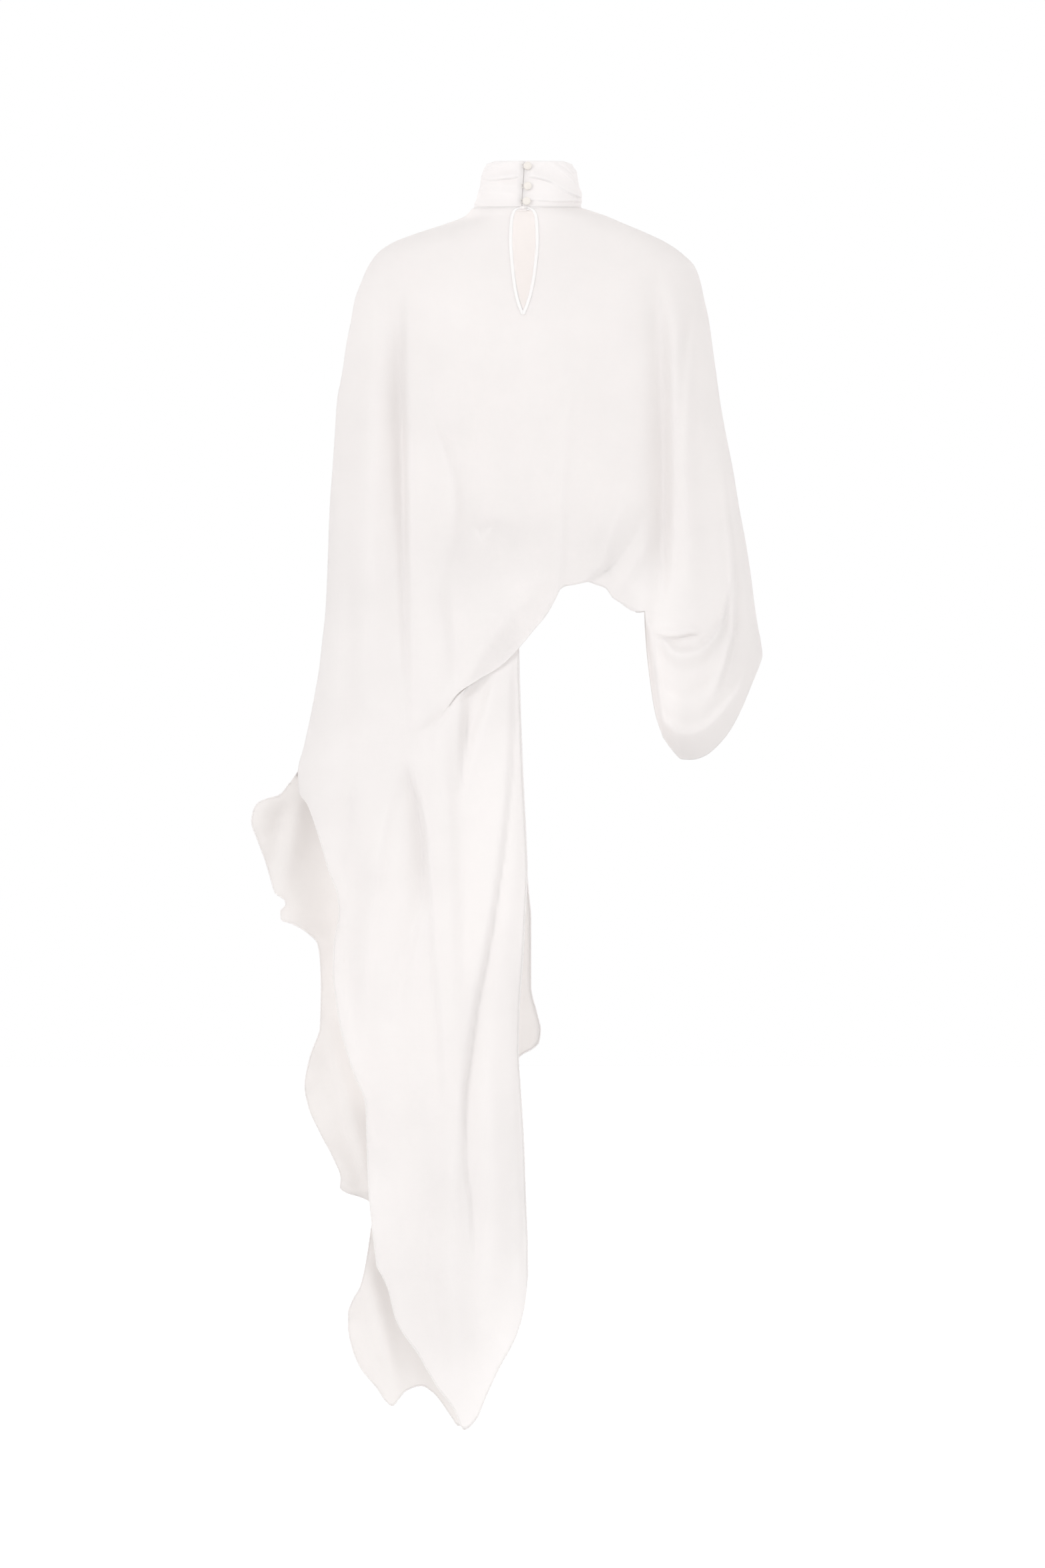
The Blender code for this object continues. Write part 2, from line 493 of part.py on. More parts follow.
def build_back():
    rows = [tip_row() if r == 3.78 else r for r in BODY_ROWS]
    on = lambda place: (lambda s, t: place(s, t, -1))
    # The keyhole parts the two halves at the middle column, so each half moves its own way.
    left_body = lambda s, t: body_point(np.minimum(s, -1e-9), t, -1)
    return joined([
        patch_of(LEFT_COLUMNS, rows, left_body),
        patch_of(MID_COLUMNS, rows, on(body_point)),
        patch_of(RIGHT_COLUMNS, rows, on(body_point)),
        patch_of(LEFT_COLUMNS, ROLL_ROWS, on(roll_point)),
        patch_of(MID_COLUMNS, ROLL_ROWS, on(roll_point)),
        patch_of(LEFT_COLUMNS, BEND_ROWS, on(roll_point)),
        patch_of(LEFT_COLUMNS, leaf_rows(BACK_LEVELS, -1), on(leaf_point)),
        patch_of(RIGHT_COLUMNS, SLEEVE_ROWS, on(sleeve_point)),
    ])


def build_front():
    on = lambda place: (lambda s, t: place(s, t, 1))
    return joined([
        patch_of(FRONT_COLUMNS, FRONT_ROWS, on(body_point)),
        patch_of(FRONT_MID, FRONT_ROWS, on(body_point)),
        patch_of(FRONT_RIGHT, FRONT_ROWS, on(body_point)),
        patch_of(FRONT_MID, (0, 0.5, 1, 2), on(roll_point)),
        patch_of(FRONT_COLUMNS, leaf_rows(FRONT_LEVELS, 1), on(leaf_point)),
        patch_of(FRONT_RIGHT, SLEEVE_ROWS, on(sleeve_point)),
    ])


finished("back_panel", build_back(), CREPE, CLOTH)
finished("front_panel", build_front(), CREPE, CLOTH)

# The waist band: an upright oval ring inside the hems.
BAND_TOP, BAND_LOW = -425.0, -500.0


def band_point(turn, up):
    angle = turn * 2 * np.pi
    x = BAND_CENTRE[0] + BAND_HALF_X * np.sin(angle)
    y = BAND_CENTRE[1] - BAND_HALF_Y * np.cos(angle)
    return x, y, BAND_LOW + (BAND_TOP - BAND_LOW) * up + 0 * x


finished("hem_band", joined([patch_of(np.linspace(0, 1, 41), (0, 0.5, 1), band_point)]), LINING, CLOTH)

# The collar: a standing band that tapers upwards, open at the back, with its draped folds.
COLLAR_LOW, COLLAR_TOP = 0.4, 62.0
COLLAR_LEFT = curve((1, -66.5), (5, -66.5), (11, -64), (20, -61.5), (29, -58.5), (38, -57.5), (47, -55.5), (56, -52.5), (62, -50))
COLLAR_RIGHT = curve((1, 81), (11, 81), (20, 80.5), (29, 78), (38, 76), (47, 75), (56, 71), (62, 68.5))
COLLAR_SHIFT = curve((1, 0), (62, 12))
COLLAR_DEPTH = curve((1, 67), (62, 54))
CLOSING_X = curve((1, -0.9), (62, 2.6))
CLOSING_GAP = 1.3
# Draped folds: which side (-1 left, 1 right), height over the turn in degrees from the back's middle,
# how far the fold stands out, its half width, and the turn by which it has gone.
COLLAR_FOLDS = (
    (-1, curve((-180, 46), (-60, 52), (-12, 36), (0, 31)), 4.2, 5.0, 999),
    (-1, curve((-180, 22), (-60, 27), (-20, 20), (0, 17)), 4.2, 5.0, 999),
    (1, curve((0, 36), (20, 36), (60, 20), (180, 22)), 4.2, 5.0, 999),
    (1, curve((0, 54), (22, 50), (60, 44), (180, 46)), 4.2, 5.0, 999),
    (1, curve((0, 5), (30, 5), (70, 6), (180, 5)), 3.6, 4.5, 165),
)


def collar_point(turn, up):
    """turn in degrees from the back's middle, minus to the left; up in mm along the back."""
    angle = np.radians(turn)
    left, right = COLLAR_LEFT(up), COLLAR_RIGHT(up)
    wall = COLLAR_WALL / 2
    half = (right - left) / 2 - wall
    centre = (left + right) / 2
    relief = np.zeros_like(up)
    for side, line, height, width, gone in COLLAR_FOLDS:
        own = ((turn < 0) == (side < 0)) * (1 - ease(np.abs(turn), gone - 50, gone))
        relief = relief + own * height * np.exp(-(((up - line(turn)) / width) ** 2))
    relief = relief * ease(np.abs(turn), 2, 20) * (1 - 0.75 * ease(np.abs(turn), 60, 88) * (1 - ease(np.abs(turn), 92, 120)))
    closing = (CLOSING_X(up) - centre) / half
    start = np.arcsin(np.clip(closing, -1, 1))
    angle = start + angle * (1 - np.sign(turn + 1e-9) * start / np.pi)
    reach = half + relief - 1.2
    x = centre + reach * np.sin(angle)
    y = COLLAR_SHIFT(up) - 2.5 - (COLLAR_DEPTH(up) + relief - 1.2) * np.cos(angle)
    drop = FRONT_TOP_DROP * (up - COLLAR_LOW) / (COLLAR_TOP - COLLAR_LOW)
    z = up - drop * ease(-np.cos(angle), 0, 1)
    side = np.where(turn < 0, -1, 1) * CLOSING_GAP / 2
    x = x + side * (1 - ease(np.abs(turn), 0, 12))
    return x, y, z


COLLAR_TURNS = (0, 2, 6, 11, 17, 24, 32, 41, 50, 60, 70, 79, 87, 95, 104, 115, 130, 147, 164, 180)
COLLAR_UPS = (COLLAR_LOW, 7, 12, 17, 22, 27, 32, 37, 43, 50, 57, COLLAR_TOP)
finished(
    "collar",
    joined([
        patch_of([-t for t in reversed(COLLAR_TURNS)], COLLAR_UPS, lambda t, u: collar_point(np.minimum(t, -1e-7), u)),
        patch_of(COLLAR_TURNS, COLLAR_UPS, lambda t, u: collar_point(t, u)),
    ]),
    CREPE, COLLAR_WALL,
)

# The keyhole's binding: a narrow strip lying on the back, round the slit.
BINDING_WIDTH, BINDING_WALL = 4.2, 1.2


def binding_point(out, z, side):
    base = KEYHOLE(z) * (z > KEYHOLE_TIP)
    taper = 1 - 0.35 * ease(z, KEYHOLE_TIP + 2, KEYHOLE_TIP - 6)
    x = KEYHOLE_X(z) + side * (base + 0.2 * (z > KEYHOLE_TIP) + out * BINDING_WIDTH * taper)
    lift = CLOTH / 2 + SEAM_GAP + BINDING_WALL / 2 + 0.25
    return x, body_y(x, z, -1) - lift, z


BINDING_ZS = (-4, -14, -26, -38, -50, -62, -74, -86, -97, -107, -116, -124, -131, -136.5, KEYHOLE_TIP, -146)
finished(
    "keyhole_binding",
    joined([
        patch_of((0, 0.5, 1), BINDING_ZS, lambda out, z: binding_point(out, z, -1)),
        patch_of((0, 0.5, 1), BINDING_ZS, lambda out, z: binding_point(out, z, 1)),
    ]),
    CREPE, BINDING_WALL,
)

# Three covered buttons on the right end of the collar and a thread loop from its left end round each shank.
BUTTON_ACROSS, SHANK_ACROSS, SHANK_LONG, LOOP_THICK = 11.0, 3.2, 2.6, 1.0
BUTTONS = (("top", 6.8, 55.6), ("mid", 6.8, 28.2), ("low", 5.4, 7.6))
BUTTON_PROFILE = (  # radius, distance out from the foot of the shank
    (0, 0), (SHANK_ACROSS / 2, 0), (SHANK_ACROSS / 2, SHANK_LONG), (4.6, SHANK_LONG), (5.5, SHANK_LONG + 0.8),
    (5.3, SHANK_LONG + 1.8), (3.9, SHANK_LONG + 2.6), (2.0, SHANK_LONG + 3.0), (0, SHANK_LONG + 3.1),
)


def collar_face():
    """Corners of the collar's middle surface near the closing, for laying the buttons and loops on it."""
    turns, ups = np.meshgrid(np.linspace(-24, 24, 193), np.linspace(COLLAR_LOW, COLLAR_TOP, 123))
    left, right = collar_point(np.minimum(turns, -1e-7), ups), collar_point(np.maximum(turns, 0), ups)
    return [np.where(turns < 0, a, b).ravel() for a, b in zip(left, right)]


FACE_X, FACE_Y, FACE_Z = collar_face()


def collar_outside(x, z, around):
    """y of the collar's outer face where it stands out most, within a distance of a place."""
    near = np.hypot(FACE_X - x, FACE_Z - z) < around
    return float(FACE_Y[near].min()) - COLLAR_WALL / 2


def spun(profile, segments):
    bm = bmesh.new()
    corners = [bm.verts.new((r, 0, h)) for r, h in profile]
    edges = [bm.edges.new(pair) for pair in zip(corners, corners[1:])]
    bmesh.ops.spin(
        bm, geom=corners + edges, cent=(0, 0, 0), axis=(0, 0, 1), angle=2 * np.pi, steps=segments,
        use_merge=True, use_duplicate=False,
    )
    bmesh.ops.remove_doubles(bm, verts=bm.verts, dist=1e-5)
    return bm


for name, x, z in BUTTONS:
    foot = collar_outside(x, z, 2.4) - SEAM_GAP - 0.1
    bm = spun(BUTTON_PROFILE, 20)
    bmesh.ops.transform(
        bm, matrix=Matrix.Scale(MM, 4) @ Matrix.Translation((x, foot, z)) @ Matrix.Rotation(np.pi / 2, 4, "X"), verts=bm.verts
    )
    finished("button_" + name, bm, BUTTON)

    # The loop: from the left end, out round the shank and back.
    half_gap = SHANK_ACROSS / 2 + SEAM_GAP + LOOP_THICK / 2 + 0.1
    left_x = float(CLOSING_X(z)) - CLOSING_GAP / 2 - 2.6
    turns = np.linspace(-np.pi / 2, np.pi / 2, 9)
    line = [(left_x, -half_gap)] + [(x + half_gap * np.cos(a), half_gap * np.sin(a)) for a in turns] + [(left_x, half_gap)]
    bm = bmesh.new()
    rings = []
    for k, (px, pz) in enumerate(line):
        ahead = np.array(line[min(k + 1, len(line) - 1)]) - np.array(line[max(k - 1, 0)])
        ahead = ahead / np.hypot(*ahead)
        ring = bmesh.ops.create_circle(bm, cap_ends=k in (0, len(line) - 1), radius=LOOP_THICK / 2, segments=8)["verts"]
        across = np.array((ahead[1], -ahead[0]))
        out_y = collar_outside(px, z + pz, 2.0) - SEAM_GAP - LOOP_THICK / 2 - 0.1
        for vert in ring:
            a, b = vert.co.x, vert.co.y
            vert.co = (px + across[0] * a, out_y + b, z + pz + across[1] * a)
        rings.append(ring)
    for one, two in zip(rings, rings[1:]):
        for k in range(8):
            bm.faces.new((one[k], one[(k + 1) % 8], two[(k + 1) % 8], two[k]))
    bmesh.ops.transform(bm, matrix=Matrix.Scale(MM, 4), verts=bm.verts)
    finished("loop_" + name, bm, THREAD)
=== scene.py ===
# %% [markdown]
# # A draped cape blouse in white crepe
# The blouse is seen from behind, filled out as if it were worn. One side is a batwing sleeve, the
# other is a long cape that falls open in two hanging leaves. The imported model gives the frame: every
# piece made here lies where its solid lies, in metres, and takes over from it.

import bmesh
import bpy
import numpy as np
from mathutils import Matrix, Vector


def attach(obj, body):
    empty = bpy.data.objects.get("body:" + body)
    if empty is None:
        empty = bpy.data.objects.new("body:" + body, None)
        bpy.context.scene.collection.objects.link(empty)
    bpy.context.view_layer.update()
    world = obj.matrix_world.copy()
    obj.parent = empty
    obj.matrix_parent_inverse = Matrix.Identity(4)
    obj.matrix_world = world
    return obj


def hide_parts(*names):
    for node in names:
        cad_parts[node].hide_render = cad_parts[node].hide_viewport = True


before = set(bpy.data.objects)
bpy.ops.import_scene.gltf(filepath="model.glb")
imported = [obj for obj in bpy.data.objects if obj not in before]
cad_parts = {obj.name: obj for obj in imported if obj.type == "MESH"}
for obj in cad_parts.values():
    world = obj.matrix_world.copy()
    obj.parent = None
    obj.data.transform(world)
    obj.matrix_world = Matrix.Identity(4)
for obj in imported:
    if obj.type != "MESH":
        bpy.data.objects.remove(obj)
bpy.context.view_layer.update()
print("nodes:", sorted(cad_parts))

# %% [markdown]
# The camera comes first, so that every later step can be looked at. The photograph is 1568 by 2352
# pixels at 0.9 mm a pixel, taken level and square to the back. A long lens from far away keeps the
# collar and the keyhole, which stand nearer than the seams, at their own height in the picture.

# %% The camera
MM = 0.001
PIXEL = 0.9 * MM
PHOTO_ROWS, NECK_ROW = 2352, 312  # the picture's rows, and the one in which the neck's base lies
PHOTO_TALL = PHOTO_ROWS * PIXEL
PHOTO_MIDDLE_Z = (NECK_ROW - PHOTO_ROWS / 2) * PIXEL
CAMERA_AWAY = 30.0
SENSOR = 36.0

camera_data = bpy.data.cameras.new("camera")
camera_data.sensor_width = SENSOR
camera_data.lens = SENSOR * CAMERA_AWAY / PHOTO_TALL
camera_data.clip_end = 100
camera = bpy.data.objects.new("camera", camera_data)
camera.location = (0, -CAMERA_AWAY, PHOTO_MIDDLE_Z)
camera.rotation_euler = (np.pi / 2, 0, 0)
bpy.context.scene.collection.objects.link(camera)
bpy.context.scene.camera = camera
print(f"lens {camera_data.lens:.0f} mm, {CAMERA_AWAY} m away")

# %% [markdown]
# Cloth has no straight lines, so every outline and fold below is a smooth curve through a few given
# points. The slope at each point is the mean of its neighbours' slopes, which keeps the curve
# from swinging past them. Two more helpers are used throughout: a smooth step, and a smooth hump.

# %% Smooth curves through given points
def curve(*points):
    """A smooth function through the points (x, y) that never swings past them."""
    table = np.array(sorted(points), float)
    xs, ys = table[:, 0], table[:, 1]
    steps, slopes = np.diff(xs), np.diff(ys) / np.diff(xs)
    tangents = np.zeros_like(ys)
    tangents[0], tangents[-1] = slopes[0], slopes[-1]
    for k in range(1, len(xs) - 1):
        before, after = slopes[k - 1], slopes[k]
        if before * after > 0:
            a, b = 2 * steps[k] + steps[k - 1], steps[k] + 2 * steps[k - 1]
            tangents[k] = (a + b) / (a / before + b / after)

    def value(x):
        x = np.clip(np.asarray(x, float), xs[0], xs[-1])
        k = np.clip(np.searchsorted(xs, x) - 1, 0, len(steps) - 1)
        h = steps[k]
        p = (x - xs[k]) / h
        return (
            ys[k] * (1 + 2 * p) * (1 - p) ** 2
            + tangents[k] * h * p * (1 - p) ** 2
            + ys[k + 1] * p * p * (3 - 2 * p)
            - tangents[k + 1] * h * p * p * (1 - p)
        )

    return value


def ease(x, start, end):
    """0 before start, 1 after end, and a smooth rise between them."""
    p = np.clip((x - start) / (end - start), 0, 1)
    return p * p * (3 - 2 * p)


def within(x, start, full, thinning, end):
    """0 outside start to end, 1 from full to thinning, and smooth in between."""
    return ease(x, start, full) * (1 - ease(x, thinning, end))


def hump(away, before, after=None):
    """1 on a line, and less away from it: over one half width before the line and another after it."""
    width = before if after is None else np.where(away < 0, before, after)
    return np.exp(-((away / width) ** 2))


print("a quarter into a smooth step:", round(float(ease(0.25, 0, 1)), 3))
print("one half width away on a hump:", round(float(hump(1, 1)), 3))


# %% [markdown]
# The body is two sheets, back and front, sewn along the shoulders and arms. Their outline is the
# silhouette in the photograph. The tables give, over the height z in millimetres, the left and right
# edges, how far the back and front stand out, and where the seam runs. They repeat the values of the
# solids, so that the cloth lies on them.

# %% The outline of the body
CLOTH = 1.0  # thickness of the crepe as shown
SEAM_GAP = 0.1
LEFT_X = curve(
    (-1, -67), (-12, -78), (-21, -100), (-34, -140), (-48, -176), (-61, -195), (-79, -208), (-97, -216),
    (-124, -226), (-151, -231), (-187, -238), (-223, -243), (-259, -250), (-304, -253), (-349, -256),
    (-403, -260), (-457, -262), (-511, -264), (-547, -266), (-583, -270), (-619, -274), (-655, -280),
    (-691, -287), (-727, -295), (-760, -303), (-1000, -306),
)
RIGHT_X = curve(
    (-1, 81), (-12, 114), (-21, 135), (-34, 166), (-48, 195), (-61, 214), (-79, 232), (-97, 239),
    (-124, 245), (-151, 251), (-187, 256), (-223, 261), (-259, 266), (-304, 274), (-349, 283),
    (-403, 292), (-457, 302), (-511, 310), (-536, 313), (-567, 318), (-585, 321.5), (-603, 323.5), (-800, 324),
)
MID_X = curve((-1, 2), (-140, 1.5), (-300, 0), (-600, -5), (-800, -3))
BACK_Y = curve(
    (-1, -69.5), (-20, -75), (-60, -88), (-100, -100), (-140, -109), (-175, -113), (-215, -114),
    (-270, -110), (-340, -103), (-400, -100), (-440, -101), (-510, -104), (-600, -106), (-760, -106),
)
FRONT_Y = curve(
    (-1, 64.5), (-20, 73), (-60, 92), (-110, 110), (-142, 120), (-175, 130), (-215, 135), (-268, 131),
    (-340, 122), (-400, 117), (-600, 115),
)
SEAM_Y = curve((-1, -2), (-34, 1), (-80, 5), (-200, 6), (-300, 10), (-450, 15), (-600, 18), (-760, 19))
ROUNDING = curve((-1, 1.0), (-60, 1.0), (-150, 0.9), (-260, 0.78), (-600, 0.72))

# The rows of the body, t = 0 to 10: height at the middle and at both ends.
MID_Z = curve(
    (0, -1), (0.6, -17), (1.3, -43), (2.2, -80), (3.1, -115), (3.8, -141), (4.6, -175), (5.4, -215),
    (6.4, -268), (7.4, -330), (8.4, -390), (9.2, -440), (10, -500),
)
LEFT_Z = curve(
    (0, -1), (0.6, -14), (1.3, -25), (2.2, -38), (3.1, -58), (3.8, -80), (4.6, -112), (5.4, -156),
    (6.4, -223), (7.4, -330), (8.4, -430), (9.2, -520), (10, -620),
)
RIGHT_Z = curve(
    (0, -1), (0.6, -12), (1.3, -25), (2.2, -37), (3.1, -55), (3.8, -80), (4.6, -115), (5.4, -153),
    (6.4, -224), (7.4, -320), (8.4, -400), (9.2, -460), (10, -520),
)
DROOP = curve((0, 0), (0.35, 0.06), (0.6, 0.24), (0.8, 0.55), (0.92, 0.84), (1, 1))
print("shoulders", round(float(RIGHT_X(-61) - LEFT_X(-61))), "mm wide at the height of the arm's top")

# %% [markdown]
# Below the body come the rolled line and waist hem of the back, the front's own low line, and the two
# leaves of the cape. The front leaf's edge falls in lobes, because a hem cut on a curve is longer than
# the line that it hangs on.

# %% The low lines and the leaves' hems
BACK_LOW = curve(
    (-303, -760), (-250, -748), (-200, -730), (-139, -709), (-110, -687), (-88, -660), (-62, -642.5),
    (-29, -622), (-7, -600), (3.6, -587.5), (16, -572), (33, -551), (42, -535), (53, -515),
    (72, -510.5), (90, -507), (97, -510), (112, -515), (121.5, -528), (136, -536), (150, -541),
    (165, -544.5), (190, -545), (250, -541), (313, -536),
)
FRONT_LOW = curve(
    (-303, -760), (-220, -745), (-139, -715), (-70, -660), (-5, -585), (20, -545), (50, -500), (90, -489),
    (115, -494), (140, -514), (157, -531), (165, -544.5), (250, -541), (313, -536),
)
BACK_LEAF_LEFT = curve(
    (-560, -267), (-637, -277), (-691, -287), (-743, -299), (-765, -304), (-787, -302), (-805, -290),
    (-846, -275), (-897, -260), (-927, -249), (-952, -247), (-993, -254), (-1030, -255), (-1066, -251),
    (-1100, -246), (-1164, -228), (-1210, -211), (-1270, -209), (-1321, -207), (-1376, -202), (-1427, -196),
)
BACK_LEAF_RIGHT = curve(
    (-540, 0), (-600, -5), (-680, -3), (-770, 0.5), (-862, 5), (-892, 6), (-960, 3), (-1016, 0),
    (-1079, -4.5), (-1138, -6), (-1185, -3), (-1270, 2), (-1334, 4), (-1397, 6.5), (-1440, 7),
)
BACK_LEAF_HEM = curve(
    (-196, -1427), (-181, -1457), (-170, -1499), (-140, -1546), (-115, -1589), (-90, -1623), (-79, -1647),
    (-62, -1632), (-51, -1606), (-31, -1563), (-9, -1521), (2, -1482), (7, -1440),
)
FRONT_LEAF_LEFT = curve(
    (-760, -303), (-768, -309), (-781, -318), (-793, -329), (-798, -346), (-803, -357), (-812, -363),
    (-828, -366), (-853, -358), (-880, -348), (-907, -340), (-925, -334), (-935, -321), (-941, -320),
    (-950, -327), (-961, -326), (-966, -312), (-979, -290), (-993, -277), (-1020, -273), (-1051, -272),
    (-1105, -273), (-1141, -285), (-1159, -290), (-1186, -294), (-1213, -289), (-1249, -273), (-1285, -254),
    (-1310, -245), (-1322, -246), (-1329, -237), (-1335, -217), (-1341, -206), (-1352, -201), (-1384, -205),
    (-1429, -212), (-1456, -219), (-1474, -229), (-1492, -235), (-1510, -235), (-1537, -230), (-1564, -219),
    (-1582, -205),
)
FRONT_LEAF_RIGHT = curve(
    (-560, -8), (-620, -10), (-781, -5), (-862, 1), (-892, 5), (-925, 8), (-961, 11), (-1051, 11),
    (-1087, 19), (-1110, 24), (-1126, 22), (-1136, 12), (-1142, 0), (-1160, -14), (-1350, -22),
    (-1500, -45), (-1582, -62),
)
FRONT_LEAF_HEM = curve(
    (-205, -1582), (-197, -1591), (-184, -1609), (-175, -1616), (-166, -1606), (-157, -1596), (-136, -1589),
    (-120, -1598), (-112, -1607), (-96, -1630), (-86, -1643), (-80, -1640), (-62, -1600),
)
FRONT_SIDE = curve(  # the front leaf's left edge without its small steps
    (-760, -303), (-790, -335), (-825, -364), (-860, -352), (-940, -326), (-1000, -276), (-1060, -272),
    (-1130, -282), (-1186, -292), (-1300, -246), (-1390, -208), (-1500, -234), (-1582, -206),
)
LEAVES = {  # by side: left edge, right edge, hem, height where the sides end, left edge without steps
    -1: (BACK_LEAF_LEFT, BACK_LEAF_RIGHT, BACK_LEAF_HEM, -1427.0, BACK_LEAF_LEFT),
    1: (FRONT_LEAF_LEFT, FRONT_LEAF_RIGHT, FRONT_LEAF_HEM, -1582.0, FRONT_SIDE),
}
print("the tail ends", -float(BACK_LEAF_HEM(-79)), "mm below the neck")

# %% [markdown]
# Crepe hangs in long soft folds. Each one is a line over the height, a depth, and a half width on its
# left and on its right. Where the two widths differ, one flank is steep, and that is what reads as a
# sharp line in the photograph. A cloth simulation would put folds somewhere, but not where these are,
# so they are placed one by one, and none is quite even.

# %% The long folds
def steady(value):
    """A width is a number, or a curve over the height."""
    return value if callable(value) else (lambda z: value)


def folded(x, z, folds):
    """The sum of the folds at a place: plus is a hollow and minus a ridge, in mm."""
    total = np.zeros_like(x)
    for line, depth, left, right in folds:
        total += depth(z) * hump(x - line(z), steady(left)(z), steady(right)(z))
    return total


BACK_FOLDS = (
    # the deep fold down the left of the body: a long slope from the left and a steep right flank
    (curve((-120, -162), (-223, -163), (-425, -160), (-543, -158.5), (-720, -154)),
     curve((-105, 0), (-160, 6), (-220, 11), (-330, 12.5), (-390, 11), (-440, 7.5), (-480, 5), (-560, 3.5),
           (-640, 2), (-720, 0)), curve((-223, 15), (-380, 13), (-480, 8), (-600, 5)), 4),
    (curve((-120, -164), (-400, -164), (-700, -156)),
     curve((-120, 0), (-200, 5), (-300, 8), (-440, 8), (-600, 5), (-720, 0)), 34, 7),
    (curve((-180, -151), (-400, -149), (-600, -147)),
     curve((-170, 0), (-300, -3), (-500, -4), (-640, 0)), 5, 20),
    # the soft ridge over the arm beside it, and the slack beyond
    (curve((-100, -204), (-400, -206), (-700, -212)),
     curve((-110, 0), (-200, -6), (-420, -8), (-600, -5), (-740, 0)), 22, 20),
    (curve((-460, -236), (-600, -235), (-760, -240)),
     curve((-440, 0), (-540, 5), (-680, 6), (-790, 0)), 12, 16),
    # the hollow in front of the right arm, with its long slope, and the ridge of the sleeve beyond it
    (curve((-80, 182), (-200, 190), (-400, 192), (-540, 188)),
     curve((-70, 0), (-150, 8), (-240, 14), (-360, 17), (-430, 17), (-480, 12), (-520, 6), (-545, 2)), 19, 8),
    (curve((-80, 176), (-400, 184), (-540, 180)),
     curve((-90, 0), (-200, 6), (-340, 8), (-450, 7), (-530, 1)), 62, 10),
    (curve((-90, 208), (-300, 215), (-500, 221)),
     curve((-90, 0), (-200, -6), (-400, -8), (-500, -5), (-540, -2)), 14, 18),
    (curve((-124, 230), (-223, 217), (-345, 212), (-470, 216)),
     curve((-120, 0), (-200, 3), (-330, 3.5), (-470, 2), (-520, 0)), 9, 5),
    # the crest right of the middle, over which the light turns
    (curve((-60, 40), (-264, 56), (-400, 50), (-520, 48)),
     curve((-110, 0), (-220, -5), (-380, -7), (-480, -7), (-525, -3)), 46, 44),
    (curve((-60, 46), (-264, 62), (-330, 57), (-473, 50), (-562, 50)),
     curve((-130, 0), (-240, -1.5), (-380, -3), (-480, -4), (-530, -2)), 16, 7),
    # the hem's gathers pull up in curved drapes beside the arm
    (curve((-400, 170), (-426, 158), (-457, 141), (-487, 118), (-505, 92)),
     curve((-405, 0), (-440, 3), (-480, 3), (-505, 1.5)), 8, 6),
    (curve((-400, 140), (-413, 133), (-452, 118), (-487, 104), (-505, 84)),
     curve((-380, 0), (-430, -3.5), (-480, -3.5), (-505, -2)), 7, 8),
    (curve((-430, 178), (-470, 160), (-500, 142), (-530, 118)),
     curve((-430, 0), (-465, -3), (-500, -3), (-525, -2)), 8, 9),
    # the long lozenge left of the middle: its crest, and the wide hollow between the two crests
    (curve((-200, -138), (-264, -131), (-330, -108), (-375, -94), (-411, -94), (-492, -111), (-527, -117),
           (-570, -112), (-614, -106), (-680, -104)),
     curve((-190, 0), (-290, -5), (-400, -7), (-480, -5), (-600, -3.5), (-660, 0)), 26,
     curve((-300, 9), (-420, 10), (-500, 14))),
    (curve((-140, -70), (-300, -62), (-450, -52), (-560, -54), (-640, -50)),
     curve((-110, 0), (-260, 7), (-400, 10), (-480, 7), (-540, 2), (-580, 0)), 26, 58),
    # a light band that runs from the waist down to the roll's end
    (curve((-480, -134), (-600, -130), (-700, -132)),
     curve((-460, 0), (-560, -5), (-660, -6), (-740, 0)), 20, 24),
    (curve((-520, -96), (-620, -90), (-660, -92)),
     curve((-500, 0), (-570, 4), (-615, 4), (-660, 0)), 12, 16),
)
